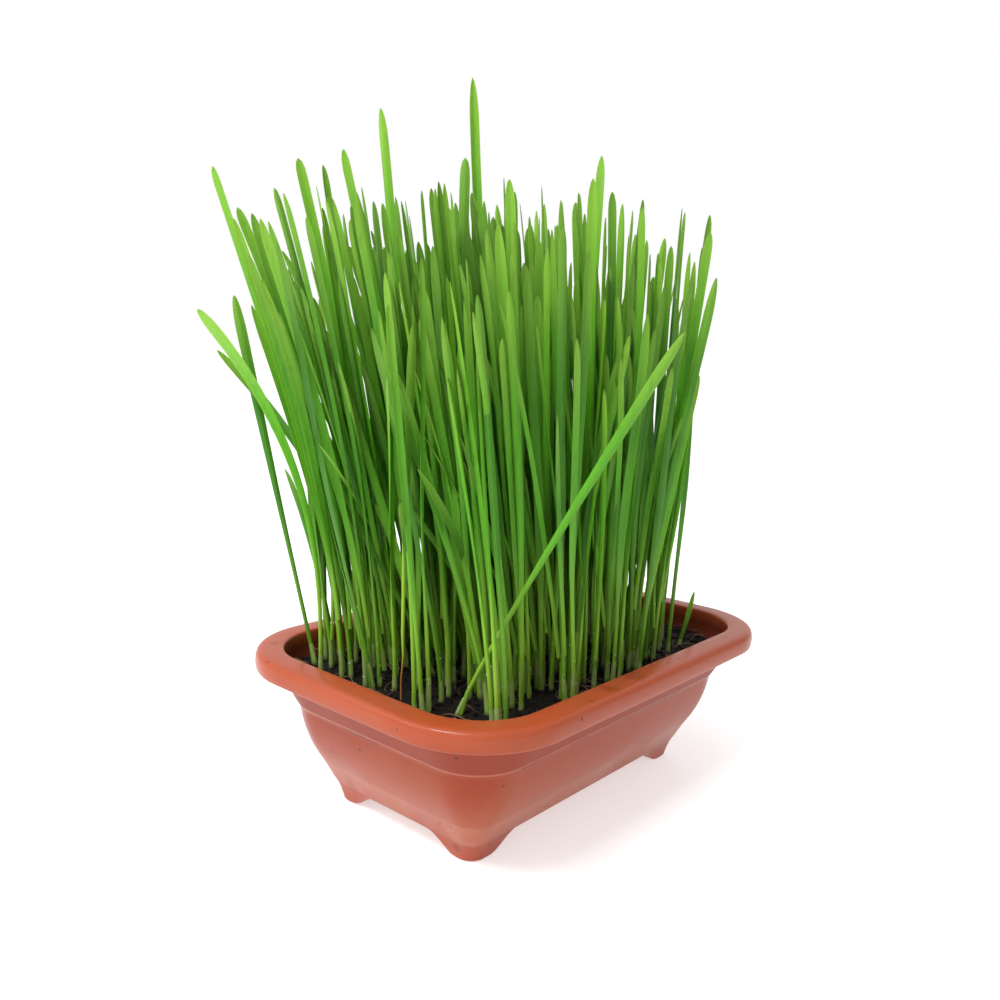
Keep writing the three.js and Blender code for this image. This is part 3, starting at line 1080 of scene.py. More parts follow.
        ridge = (self.neck_foot[0] + self.neck_step, self.neck_foot[1] - self.neck_step)
        return np.array([self.foot_tip, self.foot_side, self.bottom_edge, self.skirt_foot,
                         *arc(self.skirt_foot, self.skirt, self.shoulder, self.skirt_points),
                         *arc(self.shoulder, self.belly, ridge, self.belly_points)])

    def lower_rings(self, rail: Sequence[tuple[Spot, Spot]]) -> list[np.ndarray]:
        """Lays the underside, the feet and the wall up to the ridge.

        Args:
            rail: The outline's anchors and directions.

        Returns:
            Their rings in order.
        """
        section = self.outside()
        edge = self.edge_levels(rail)

        def inset_at(level: np.ndarray) -> np.ndarray:
            """Returns the outer section's inset at each height."""
            return np.interp(level, section[:, 1], section[:, 0])

        rings = [self.ring(rail, inset, 0.0) for inset in self.UNDER]
        for flat in rings:
            flat[:, 2] = self.underside(flat)
        foot = inset_at(edge + self.edge_lift)
        rings += [self.ring(rail, foot + inwards, edge + up) for inwards, up in self.EDGE]
        for share in self.FOOT_SHARES:
            level = np.maximum(edge + (self.lowest_band - edge) * share, edge + self.least_band)
            rings.append(self.ring(rail, inset_at(level), level))
        higher = section[section[:, 1] > self.lowest_band + self.band_gap]
        return rings + [self.ring(rail, inset, z) for inset, z in higher]

    def build(self) -> bpy.types.Mesh:
        """Builds the tray as one closed shell.

        Returns:
            Its mesh, which says where the inside is.
        """
        rail = self.rail()
        rings = self.lower_rings(rail)
        foot_in, foot_z = self.neck_foot
        rings += [self.ring(rail, foot_in + inwards, foot_z + up) for inwards, up in self.STEP]
        rings += [self.ring(rail, foot_in + (self.neck_top - foot_in) * share,
                            foot_z + (self.lip_bottom - foot_z) * share)
                  for share in self.NECK_SHARES]
        rings += [self._waved(self.ring(rail, inset, z)) for inset, z in self.LIP]
        marks = [0.0] * len(rings) + [1.0] * len(self.INSIDE)
        rings += [self.ring(rail, inset, z) for inset, z in self.INSIDE]
        mesh = lofted("tray_moulding", rings, (0.0, 0.0, self.bottom_edge[1]),
                      (0.0, 0.0, self.floor_top))
        inside = mesh.attributes.new("inside", "FLOAT", "POINT")
        inside.data.foreach_set("value", np.append(np.repeat(marks, len(rail)),
                                                   (0.0, 1.0)).astype(np.float32))
        return mesh

    def _waved(self, ring: np.ndarray) -> np.ndarray:
        """Gives a ring of the lip the slight waviness of moulded plastic.

        Args:
            ring: The ring, which changes.

        Returns:
            The same ring.
        """
        x, y = ring[:, 0], ring[:, 1]
        wave = np.sin(x / 31.0 + 0.8) * np.cos(y / 37.0 - 0.4)
        ring[:, 2] += self.wave_up * wave - self.wave_down
        ring[:, 0] += self.wave_out * np.sin(y / 29.0 + 1.3) * np.sign(x)
        return ring

    def dress(self) -> bpy.types.Object:
        """Builds the tray, gives it its finish and returns the piece."""
        mesh = tidied(self.build(), self.smooth_below)
        mesh.materials.append(self.finish.material())
        return settled(linked("tray_moulding", mesh), ["tray"])


# ---- Growth of the stand ----


class ShootKind(Enum):
    """How a shoot came to stand where it does."""

    TUFT = "one of the shoots that each tuft's solid holds"
    LEADER = "a tall or leaning shoot that leads its tuft"
    LONE = "a shoot that stands apart from the tufts"
    FILLER = "a slighter shoot between the others"


@dataclass
class Shoot:
    """One shoot. Root and tip in millimetres from the tray's middle, angles in degrees."""

    root: Spot
    tip: Point
    bend: float
    face: float
    width: float
    kind: ShootKind = ShootKind.TUFT
    name: str = ""


@dataclass(frozen=True)
class StandOutline:
    """Where the sides of the stand are, seen from the tray's near corner. Millimetres."""

    left: float = -84.0
    right: float = 69.0
    spread: float = 0.45
    level: float = 135.0
    reach: float = 400.0
    near_x: float = 0.648
    near_y: float = -0.761

    def ahead(self, x: float, y: float) -> float:
        """Returns how far x, y lies towards the near corner of the tray."""
        return self.near_x * x + self.near_y * y

    def aside(self, x: float, y: float) -> float:
        """Returns how far x, y lies to the right, seen from the near corner."""
        return -self.near_y * x + self.near_x * y

    def kept_in(self, tip: Point) -> Point:
        """Moves a tip inwards to where the stand's sides are at its height.

        Args:
            tip: The tip.

        Returns:
            The moved tip.
        """
        x, y, z = tip
        aside = self.aside(x, y)
        nearness = 1.0 - self.ahead(x, y) / self.reach
        least = (self.left - self.spread * max(z - self.level, 0.0)) * nearness
        shift = min(max(aside, least), self.right * nearness) - aside
        return (x - self.near_y * shift, y + self.near_x * shift, z)


@dataclass
class Crown:
    """The place of one tuft or lone shoot in the soil."""

    x: float
    y: float
    radius: float


@dataclass
class SteadyRandom:
    """The same plain random numbers on every computer."""

    state: int

    def between(self, least: float, most: float) -> float:
        """Returns the next number between the two."""
        self.state = (self.state * 1664525 + 1013904223) % 4294967296
        return least + (most - least) * (self.state / 4294967296)


@dataclass
class Growth:
    """Places crowns and grows their shoots by the same rule as the tray's solids.

    Sizes are in millimetres and facings in degrees. A range is the least and the most.
    """

    soil_level: float = 55.0
    patch_x: float = -1.0
    patch_y: float = -8.0
    patch_half_x: float = 50.0
    patch_half_y: float = 73.0
    patch_corner: float = 14.0
    tufts: int = 51
    crown_radius: float = 5.4
    lone_radius: float = 2.4
    spacing: float = 2.4
    shoots_per_tuft: int = 4
    root_away: Range = (1.8, 3.4)
    lean_x: float = -10.0
    lean_y: float = -10.0
    fan: float = 0.31
    scatter: float = 8.0
    heights: Range = (154.0, 198.0)
    bends: Range = (1.0, 1.5)
    faces: Range = (-140.0, 40.0)
    widths: Range = (3.6, 4.8)
    named_bend: float = 1.3
    named_width: float = 4.6
    stem_length: float = 80.0
    stem_gap: float = 2.6
    blade_gap: float = 5.0
    level_step: int = 4
    crown_tries: int = 20000
    shoot_tries: int = 150
    seed: int = 7
    fillers: int = 160
    filler_tries: int = 9000
    filler_gap: float = 3.3
    filler_seed: int = 23
    filler_scatter: float = 12.0
    filler_heights: Range = (125.0, 190.0)
    filler_bends: Range = (0.9, 1.7)
    filler_widths: Range = (3.2, 4.8)
    stray_share: float = 0.35
    stray_scatter: float = 22.0
    stray_heights: Range = (95.0, 160.0)
    sprig_face: float = -60.0
    sprig_width: float = 3.8
    filler_front: float = 60.0
    front_reach: float = 76.0
    front_pull: float = 0.8
    front_level: float = 18.0
    front_drop: float = 0.0026
    filler_tips_x: Range = (-84.0, 58.0)
    filler_tips_y: Range = (-90.0, 50.0)
    filler_growth: float = 1.065
    tuft_growth: float = 1.025
    side_row: float = -58.0
    side_bend: float = 1.5
    clear_by: float = 3.2
    clear_step: int = 10
    outline: StandOutline = field(default_factory=StandOutline)

    # The tall shoots that lead the first tufts: root, tip, facing.
    LEADERS: ClassVar[tuple[tuple[Spot, Point, float], ...]] = (
        ((0, -26), (-9, -34, 288), -40), ((-17, -42), (-36, -56, 276), -60),
        ((-29, -30), (-60, -54, 264), -50), ((-46, -62), (-94, -92, 254), -70),
        ((-48, -40), (-95, -80, 240), -50), ((-36, -50), (-85, -72, 235), -55),
        ((16, 10), (18, 15, 266), -50), ((44, 38), (53, 45, 238), -45),
        ((47, 20), (61, 38, 219), -60), ((2, -47), (0, -46, 256), -50),
        ((20, -28), (20, -44, 247), -40), ((38, -10), (38, -18, 250), -55),
    )
    # The shoots that stand apart: name, root, tip, bend, facing.
    LONE: ClassVar[tuple[tuple[str, Spot, Point, float, float], ...]] = (
        ("front_shoot_to_right", (28, -70), (88, -31, 195), 1.1, -50),
        ("front_shoot_to_left", (36, -62), (-4, -82, 184), 1.3, -50),
        ("splayed_shoot_high", (-34, -83), (-96, -98, 198), 2.2, -20),
        ("splayed_shoot_low", (-52, -50), (-101, -86, 182), 2.0, -80),
        ("outer_shoot", (-50, -73), (-84, -89, 204), 1.0, -50),
        ("short_shoot_at_end", (43, 63), (47, 66, 82), 1.3, -50),
        (YELLOWING, (5, -76), (10, -80, 194), 1.2, -50),
    )
    # Lone shoots that bend out more suddenly, and those that nothing slight stands before.
    SPLAYED: ClassVar[dict[str, float]] = {"splayed_shoot_high": 2.8, "splayed_shoot_low": 2.3}
    IN_VIEW: ClassVar[tuple[str, ...]] = ("front_shoot_to_right", "front_shoot_to_left", YELLOWING)
    # Tufts whose shoots lean aside from the lone shoots: number, shift of roots, shift of tips.
    PARTED: ClassVar[tuple[tuple[int, Spot, Spot], ...]] = (
        (38, (5.5, 4.5), (6.0, 5.0)), (50, (1.0, 1.0), (9.0, 8.0)))
    # Slight shoots at the stand's left end: root, tip, bend.
    SPRIGS: ClassVar[tuple[tuple[Spot, Point, float], ...]] = (
        ((-44, -68), (-54.5, -85.5, 137), 1.6), ((-42, -71), (-50, -82, 172), 1.4),
        ((-53, -58), (-69, -91, 200), 1.6), ((-52, -66), (-58, -86, 186), 1.5),
        ((-47, -61), (-62, -86, 196), 1.4),
    )

    def in_patch(self, x: float, y: float) -> bool:
        """Returns whether a root at x, y stands in the sown patch."""
        over_x = max(abs(x - self.patch_x) - (self.patch_half_x - self.patch_corner), 0.0)
        over_y = max(abs(y - self.patch_y) - (self.patch_half_y - self.patch_corner), 0.0)
        return math.hypot(over_x, over_y) < self.patch_corner

    def spot(self, chance: SteadyRandom) -> Spot:
        """Returns the next place on the soil, inside the patch's rectangle."""
        return (self.patch_x + chance.between(-self.patch_half_x, self.patch_half_x),
                self.patch_y + chance.between(-self.patch_half_y, self.patch_half_y))

    def crowns(self, chance: SteadyRandom) -> list[Crown]:
        """Places the tufts' crowns clear of each other and of the lone shoots.

        Args:
            chance: The random numbers, which move on.

        Returns:
            The tufts' crowns.
        """
        lone = [Crown(*root, self.lone_radius) for _, root, _, _, _ in self.LONE]
        tufts = [Crown(*root, self.crown_radius) for root, _, _ in self.LEADERS]
        tries = 0
        while tries < self.crown_tries and len(tufts) < self.tufts:
            x, y = self.spot(chance)
            free = all(math.hypot(x - c.x, y - c.y) > self.crown_radius + c.radius + self.spacing
                       for c in [*lone, *tufts])
            if free and self.in_patch(x, y):
                tufts.append(Crown(x, y, self.crown_radius))
            tries += 1
        return tufts

    def at(self, shoot: Shoot, level: float) -> Spot:
        """Returns where a shoot passes a height."""
        share = (level - self.soil_level) / (shoot.tip[2] - self.soil_level)
        out = share**shoot.bend
        return (shoot.root[0] + (shoot.tip[0] - shoot.root[0]) * out,
                shoot.root[1] + (shoot.tip[1] - shoot.root[1]) * out)

    def apart(self, one: Shoot, other: Shoot) -> bool:
        """Compares two shoots at every level that both reach.

        Args:
            one: The first shoot.
            other: The second shoot.

        Returns:
            Whether they keep their distance.
        """
        top = min(one.tip[2], other.tip[2])
        level = self.soil_level
        while level < top + self.level_step:
            height = min(level, top)
            opened = min((height - self.soil_level) / self.stem_length, 1.0)
            needed = self.stem_gap + (self.blade_gap - self.stem_gap) * opened
            if math.dist(self.at(one, height), self.at(other, height)) < needed:
                return False
            level += self.level_step
        return True

    def aimed(self, x: float, y: float, chance: SteadyRandom, scatter: float,
              heights: Range) -> Point:
        """Returns a tip for a shoot rooted at x, y: the stand leans and fans out."""
        return (x + self.lean_x + self.fan * x + chance.between(-scatter, scatter),
                y + self.lean_y + self.fan * y + chance.between(-scatter, scatter),
                self.soil_level + chance.between(*heights))

    def fill(self, crown: Crown, standing: list[Shoot], wanted: int,
             chance: SteadyRandom) -> list[Shoot]:
        """Grows a tuft's shoots.

        Args:
            crown: Where the tuft stands.
            standing: Every shoot so far.
            wanted: How many shoots are added at most.
            chance: The random numbers, which move on.

        Returns:
            The new shoots.
        """
        grown: list[Shoot] = []
        tries = 0
        while tries < self.shoot_tries and len(grown) < wanted:
            angle = chance.between(0.0, 2 * math.pi)
            distance = chance.between(*self.root_away)
            x = crown.x + distance * math.cos(angle)
            y = crown.y + distance * math.sin(angle)
            tip = self.aimed(x, y, chance, self.scatter, self.heights)
            shoot = Shoot((x, y), tip, chance.between(*self.bends), chance.between(*self.faces),
                          chance.between(*self.widths))
            if all(self.apart(shoot, other) for other in [*standing, *grown]):
                grown.append(shoot)
            tries += 1
        return grown

    def grow(self) -> tuple[list[list[Shoot]], list[Shoot]]:
        """Grows the whole stand.

        Returns:
            Each tuft's shoots with its fillers, and the lone shoots.
        """
        chance = SteadyRandom(self.seed)
        crowns = self.crowns(chance)
        leaders = [Shoot(root, tip, self.named_bend, face, self.named_width, ShootKind.LEADER)
                   for root, tip, face in self.LEADERS]
        lone = [Shoot(root, tip, bend, face, self.named_width, ShootKind.LONE, name)
                for name, root, tip, bend, face in self.LONE]
        standing = [*leaders, *lone]
        tufts: list[list[Shoot]] = []
        for i, crown in enumerate(crowns):
            own = [leaders[i]] if i < len(leaders) else []
            added = self.fill(crown, standing, self.shoots_per_tuft - len(own), chance)
            standing += added
            tufts.append([*own, *added])
        self._add_fillers(crowns, tufts, standing)
        for shoots in tufts:
            for shoot in shoots:
                if shoot.kind in (ShootKind.TUFT, ShootKind.FILLER):
                    self._settle(shoot)
        self._part(tufts, lone)
        return tufts, lone

    def sprigs(self) -> list[Shoot]:
        """Returns the slight shoots at the stand's left end."""
        return [Shoot(root, tip, bend, self.sprig_face, self.sprig_width, ShootKind.FILLER)
                for root, tip, bend in self.SPRIGS]

    def _settle(self, shoot: Shoot) -> None:
        """Keeps the rows at the near corner low, and those at the side upright low down.

        Args:
            shoot: The shoot, whose tip and bend change.
        """
        x, y, z = shoot.tip
        ahead = self.outline.ahead(x, y)
        back = max(ahead - self.front_reach, 0.0) * self.front_pull
        taller = self.filler_growth if shoot.kind is ShootKind.FILLER else self.tuft_growth
        lower = taller - self.front_drop * max(ahead - self.front_level, 0.0)
        shoot.tip = self.outline.kept_in((x - self.outline.near_x * back,
                                          y - self.outline.near_y * back,
                                          self.soil_level + (z - self.soil_level) * lower))
        if self.outline.aside(*shoot.root) < self.side_row:
            shoot.bend = max(shoot.bend, self.side_bend)

    def _part(self, tufts: list[list[Shoot]], lone: list[Shoot]) -> None:
        """Bends the splayed shoots further out and clears the view of the lone shoots in front.

        Args:
            tufts: Each tuft's shoots, from which some fillers go.
            lone: The lone shoots.
        """
        for shoot in lone:
            shoot.bend = self.SPLAYED.get(shoot.name, shoot.bend)
        for number, root, tip in self.PARTED:
            for shoot in tufts[number - 1]:
                if shoot.kind is ShootKind.TUFT:
                    shoot.root = (shoot.root[0] + root[0], shoot.root[1] + root[1])
                    shoot.tip = (shoot.tip[0] + tip[0], shoot.tip[1] + tip[1], shoot.tip[2])
        seen = [shoot for shoot in lone if shoot.name in self.IN_VIEW]
        for shoots in tufts:
            shoots[:] = [s for s in shoots if s.kind is not ShootKind.FILLER
                         or not any(self._hides(s, other) for other in seen)]

    def _hides(self, shoot: Shoot, other: Shoot) -> bool:
        """Compares two shoots, seen from the near corner.

        Args:
            shoot: The shoot that may be in the way.
            other: The shoot behind it.

        Returns:
            Whether the first stands before the second.
        """
        lowest = int(self.soil_level) + self.clear_step // 2
        top = int(min(shoot.tip[2], other.tip[2]))
        for level in range(lowest, top, self.clear_step):
            here, there = self.at(shoot, level), self.at(other, level)
            apart = abs(self.outline.aside(*here) - self.outline.aside(*there))
            if self.outline.ahead(*here) > self.outline.ahead(*there) and apart < self.clear_by:
                return True
        return False

    def _add_fillers(self, crowns: list[Crown], tufts: list[list[Shoot]],
                     standing: list[Shoot]) -> None:
        """Grows slighter shoots in the free places and gives each to the nearest tuft.

        Args:
            crowns: The tufts' crowns.
            tufts: Each tuft's shoots, to which they are added.
            standing: Every shoot so far, to which they are added.
        """
        chance = SteadyRandom(self.filler_seed)
        made = 0
        for _ in range(self.filler_tries):
            x, y = self.spot(chance)
            if made >= self.fillers or not self.in_patch(x, y):
                continue
            if any(math.hypot(x - s.root[0], y - s.root[1]) < self.filler_gap for s in standing):
                continue
            stray = chance.between(0.0, 1.0) < self.stray_share
            tip = self.aimed(x, y, chance, self.stray_scatter if stray else self.filler_scatter,
                             self.stray_heights if stray else self.filler_heights)
            shoot = Shoot((x, y), tip, chance.between(*self.filler_bends),
                          chance.between(*self.faces), chance.between(*self.filler_widths),
                          ShootKind.FILLER)
            if not (self.filler_tips_x[0] < tip[0] < self.filler_tips_x[1]
                    and self.filler_tips_y[0] < tip[1] < self.filler_tips_y[1]
                    and self.outline.ahead(x, y) < self.filler_front):
                continue
            nearest = min(range(len(crowns)), key=lambda i: math.hypot(
                x - crowns[i].x, y - crowns[i].y))
            tufts[nearest].append(shoot)
            standing.append(shoot)
            made += 1


# ---- Shoots as meshes ----


@dataclass
class LeafWeaver:
    """Turns centre lines with widths and facings into closed leaves and stalks."""

    profile_points: int = 10

    def tree(self) -> bpy.types.NodeTree:
        """Builds the tree that sweeps the leaf's section along each line.

        Returns:
            The tree.
        """
        g = GeometryBench("leaf_weaver")
        corners = g.size("Profile points", "NodeSocketInt", self.profile_points)
        thick = g.size("Thickness", "NodeSocketFloat", 1.0)
        cover = g.size("Finish", "NodeSocketMaterial", None)
        lines = g.store(g.source.outputs["Geometry"], "centre",
                        g.add("GeometryNodeInputPosition").outputs[0], "FLOAT_VECTOR")
        curves = g.chain("GeometryNodeMeshToCurve", lines)
        turn = g.times(g.add("GeometryNodeSplineParameter").outputs["Factor"], 2 * math.pi)
        profile = g.store(g.hoop(corners, MM), "around", turn)
        swept = g.chain("GeometryNodeCurveToMesh", curves,
                        {"Profile Curve": profile, "Fill Caps": True})
        angle, opened, half, depth, keel = (
            g.read(label) for label in ("around", "opened", "half_width", "half_depth", "keel"))
        centre, side, front = (
            g.read(label, "FLOAT_VECTOR") for label in ("centre", "side", "front"))
        cosine = g.math("COSINE", angle)
        reach = g.math("POWER", g.math("ABSOLUTE", cosine), g.plus(1.0, opened))
        across = g.times(g.math("SIGN", cosine), reach)
        bulge = g.times(g.times(g.math("SINE", angle), depth), thick)
        fold = g.times(g.times(keel, half), g.minus(reach, 0.5))
        sideways = g.vector("SCALE", side, g.times(across, half))
        forwards = g.vector("SCALE", front, g.plus(bulge, fold))
        place = g.vector("ADD", centre, g.vector("ADD", sideways, forwards))
        shaped = g.chain("GeometryNodeSetPosition", swept, {"Position": place})
        return g.finish(g.store(shaped, "across", across), cover)


@dataclass
class LeafLine:
    """The centre line of one leaf, stalk or sleeve, and what each of its points needs."""

    points: list[np.ndarray] = field(default_factory=list)
    sides: list[np.ndarray] = field(default_factory=list)
    fronts: list[np.ndarray] = field(default_factory=list)
    half_widths: list[float] = field(default_factory=list)
    half_depths: list[float] = field(default_factory=list)
    keels: list[float] = field(default_factory=list)
    opened: list[float] = field(default_factory=list)
    along: list[float] = field(default_factory=list)
    shade: float = 0.5
    sleeve: float = 0.0
    dry: float = 0.0

    def add(self, point: np.ndarray, side: np.ndarray, front: np.ndarray, half_width: float,
            half_depth: float, keel: float = 0.0, opened: float = 0.0, along: float = 0.0) -> None:
        """Adds one point.

        Args:
            point: Its place in millimetres.
            side: The direction across the leaf.
            front: The direction that the leaf faces.
            half_width: Half of the leaf's width there.
            half_depth: Half of its thickness there.
            keel: How deeply it is folded.
            opened: How far the stalk has opened into a blade, from 0 to 1.
            along: The share of the shoot's height.
        """
        lists = (self.points, self.sides, self.fronts, self.half_widths, self.half_depths,
                 self.keels, self.opened, self.along)
        for kept, value in zip(lists, (point, side, front, half_width, half_depth, keel, opened,
                                       along)):
            kept.append(value)


@dataclass
class ShootBuilder:
    """Plans the leaves of a shoot. Sizes in millimetres, angles in degrees.

    A range is the least and the most of what is drawn for each leaf.
    """

    soil_level: float = 55.0
    stations: int = 24
    crowding: float = 1.6
    stalk_radius: float = 0.84
    sleeve_radius: float = 1.02
    sleeve_foot: float = 1.12
    sleeve_heights: Range = (4.0, 15.0)
    blade_half_depth: float = 0.19
    tip_half_width: float = 0.2
    tip_thinning: float = 0.45
    blunt: Range = (0.46, 0.62)
    taper: Range = (6.0, 19.0)
    most_taper: float = 0.6
    rounding: float = 2.2
    flattening: float = 0.6
    keel: float = 0.5
    keels: Range = (0.4, 1.35)
    sway: float = 4.5
    lone_sway: float = 0.4
    second_sway: float = 0.45
    twist: float = 70.0
    calm_twist: float = 0.35
    visual_width: float = 0.83
    lone_width: float = 0.92
    root_depth: float = 5.0
    slope_step: float = 0.01
    closed_height: float = 26.0
    closed_share: float = 0.3
    open_by: Range = (0.42, 0.58)
    lone_open_by: float = 0.97
    short_height: float = 60.0
    short_width: float = 0.62
    short_closed: float = 0.1
    front_row: float = 58.0
    front_width: float = 0.85
    front_open_later: float = 0.18
    second_share: float = 0.78
    second_spread: float = 24.0
    leader_spread: float = 8.0
    second_height: Range = (0.72, 0.97)
    leader_height: Range = (0.70, 0.97)
    second_bend: Range = (0.05, 0.45)
    second_turn: float = 45.0
    second_width: Range = (0.68, 0.92)
    second_start: Range = (0.10, 0.2)
    second_closed: float = 0.04
    second_back: float = 0.6
    second_open_by: Range = (0.5, 0.62)
    widest_tips: Range = (-98.0, 58.0)
    withered_shade: float = 0.95
    withered_to: float = 26.0
    withered_fade: float = 12.0
    withered_width: float = 0.78
    withered_thinning: float = 0.5
    wriggle: float = 0.8
    wriggle_length: float = 2.6
    outline: StandOutline = field(default_factory=StandOutline)

    # The sleeve above the soil: share of its height, and share of its radius.
    SLEEVE: ClassVar[tuple[Spot, ...]] = (
        (0.0, 1.14), (0.2, 1.06), (0.45, 1.0), (0.75, 0.94), (0.92, 0.88), (1.0, 0.78))

    def centre(self, shoot: Shoot, share: float, sway: np.ndarray) -> np.ndarray:
        """Returns a point of the shoot's middle line.

        Args:
            shoot: The shoot.
            share: 0 at the root and 1 at the tip.
            sway: How far the line swings out of its plane, along x and y.

        Returns:
            The point in millimetres.
        """
        out = max(share, 0.0) ** shoot.bend
        swing = (math.sin(math.pi * share) * sway
                 + math.sin(2 * math.pi * share) * self.second_sway * sway[::-1])
        x = shoot.root[0] + (shoot.tip[0] - shoot.root[0]) * out + swing[0] * share
        y = shoot.root[1] + (shoot.tip[1] - shoot.root[1]) * out + swing[1] * share
        return np.array([x, y, self.soil_level + (shoot.tip[2] - self.soil_level) * share])

    def frame_at(self, shoot: Shoot, share: float, sway: np.ndarray,
                 twist: float) -> tuple[np.ndarray, np.ndarray]:
        """Turns the leaf at one point of its line.

        Args:
            shoot: The shoot.
            share: 0 at the root and 1 at the tip.
            sway: How far the line swings, along x and y.
            twist: How far the leaf turns from root to tip.

        Returns:
            The direction across the leaf, and the direction that it faces.
        """
        ahead = self.centre(shoot, min(share + self.slope_step, 1.0), sway)
        behind = self.centre(shoot, max(share - self.slope_step, 0.0), sway)
        tangent = (ahead - behind) / np.linalg.norm(ahead - behind)
        facing = math.radians(shoot.face + twist * share)
        front = np.array([math.cos(facing), math.sin(facing), 0.0])
        front -= tangent * float(front @ tangent)
        front /= np.linalg.norm(front)
        return np.cross(tangent, front), front

    def leaf(self, shoot: Shoot, chance: random.Random, start: float, stalk: float,
             open_by: float) -> LeafLine:
        """Plans one leaf.

        Args:
            shoot: Its path, facing and width.
            chance: The random numbers, which move on.
            start: The share of the path at which it begins.
            stalk: The share up to which it is a closed round stalk.
            open_by: The share at which the blade is at full width.

        Returns:
            The leaf's line.
        """
        lone = shoot.kind is ShootKind.LONE
        withered = shoot.name == YELLOWING
        line = LeafLine(shade=chance.uniform(0.0, 1.0))
        sway = np.array([chance.uniform(-self.sway, self.sway),
                         chance.uniform(-self.sway, self.sway)])
        if lone:
            sway = sway * self.lone_sway
        calm = shoot.kind in (ShootKind.LONE, ShootKind.LEADER)
        twist = chance.uniform(-self.twist, self.twist) * (self.calm_twist if calm else 1.0)
        keel = self.keel * chance.uniform(*self.keels) * chance.choice((1.0, 1.0, -1.0))
        blunt = chance.uniform(*self.blunt)
        height = shoot.tip[2] - self.soil_level
        taper = min(chance.uniform(*self.taper) / height, self.most_taper)
        full = shoot.width / 2 * (self.lone_width if lone else self.visual_width)
        if withered:
            line.shade = self.withered_shade
        for i in range(self.stations + 1):
            # Stations crowd towards the tip, where the outline turns.
            t = 1.0 - (1.0 - i / self.stations) ** self.crowding
            share = start + (1.0 - start) * t
            here = self.centre(shoot, share, sway)
            side, front = self.frame_at(shoot, share, sway, twist)
            opening = float(np.clip((share - stalk) / (open_by - stalk), 0.0, 1.0))
            opening = opening * opening * (3 - 2 * opening)
            radius = self.stalk_radius
            if withered:
                up = share * height
                shrunk = float(np.clip((self.withered_to - up) / self.withered_fade, 0.0, 1.0))
                here = here + self.wriggle * shrunk * side * math.sin(up / self.wriggle_length)
                radius = self.stalk_radius * (1.0 - self.withered_thinning * shrunk)
            half = radius + (full - radius) * opening
            depth = radius + (self.blade_half_depth - radius) * opening**self.flattening
            if share > 1.0 - taper:
                gone = (share - 1.0 + taper) / taper
                half *= max(1.0 - gone**self.rounding, 0.0) ** blunt
                half = max(half, self.tip_half_width)
                depth *= 1.0 - self.tip_thinning * gone
            if i == 0 and start == 0.0:
                here = here - np.array([0.0, 0.0, self.root_depth])
            line.add(here, side, front, half, min(depth, half), keel * opening, opening, share)
        return line

    def sleeve(self, shoot: Shoot, chance: random.Random) -> LeafLine:
        """Plans the pale sleeve round the foot of the stalk.

        Args:
            shoot: The shoot.
            chance: The random numbers, which move on.

        Returns:
            The sleeve's line.
        """
        line = LeafLine(shade=chance.uniform(0.0, 1.0), sleeve=1.0)
        height = chance.uniform(*self.sleeve_heights)
        full = shoot.tip[2] - self.soil_level
        still = np.zeros(2)
        side, front = np.array([1.0, 0.0, 0.0]), np.array([0.0, 1.0, 0.0])
        buried = (-self.root_depth / height, self.sleeve_foot)
        for level, swell in (buried, *self.SLEEVE):
            here = self.centre(shoot, max(level * height / full, 0.0), still)
            here[2] = self.soil_level + level * height
            radius = self.sleeve_radius * swell
            line.add(here, side, front, radius, radius)
        return line

    def twin(self, shoot: Shoot, chance: random.Random) -> LeafLine:
        """Plans a shoot's second leaf.

        Args:
            shoot: The shoot.
            chance: The random numbers, which move on.

        Returns:
            The leaf's line.
        """
        leader = shoot.kind is ShootKind.LEADER
        spread = self.leader_spread if leader else self.second_spread
        dip = chance.uniform(*(self.leader_height if leader else self.second_height))
        aside = shoot.tip[0] + chance.uniform(-spread, spread)
        back = shoot.tip[1] + chance.uniform(-spread, spread * self.second_back)
        height = shoot.tip[2] - self.soil_level
        tip = self.outline.kept_in((min(max(aside, self.widest_tips[0]), self.widest_tips[1]),
                                    back, self.soil_level + height * dip))
        twin = Shoot(shoot.root, tip, shoot.bend + chance.uniform(*self.second_bend),
                     shoot.face + 180.0 + chance.uniform(-self.second_turn, self.second_turn),
                     shoot.width * chance.uniform(*self.second_width), shoot.kind)
        start = chance.uniform(*self.second_start)
        return self.leaf(twin, chance, start, start + self.second_closed,
                         chance.uniform(*self.second_open_by))

    def plan(self, shoot: Shoot, chance: random.Random) -> list[LeafLine]:
        """Plans a shoot's first leaf, sleeve and second leaf.

        Args:
            shoot: The shoot.
            chance: The random numbers, which move on.

        Returns:
            Their lines.
        """
        height = shoot.tip[2] - self.soil_level
        lone = shoot.kind is ShootKind.LONE
        tall = height > self.short_height
        in_front = self.outline.ahead(*shoot.root) > self.front_row
        stalk = min(self.closed_height / height, self.closed_share)
        if not tall:
            shoot = replace(shoot, width=shoot.width * self.short_width)
            stalk = self.short_closed
        open_by = self.lone_open_by if lone else chance.uniform(*self.open_by)
        if in_front and not lone:
            shoot = replace(shoot, width=shoot.width * self.front_width)
            open_by += self.front_open_later
        first = self.leaf(shoot, chance, 0.0, stalk, open_by)
        if shoot.name == YELLOWING:
            first.half_widths = [w * self.withered_width for w in first.half_widths]
            first.dry = 1.0
            return [first]
        lines = [first, self.sleeve(shoot, chance)]
        if tall and not lone and chance.random() < self.second_share and not in_front:
            lines.append(self.twin(shoot, chance))
        return lines

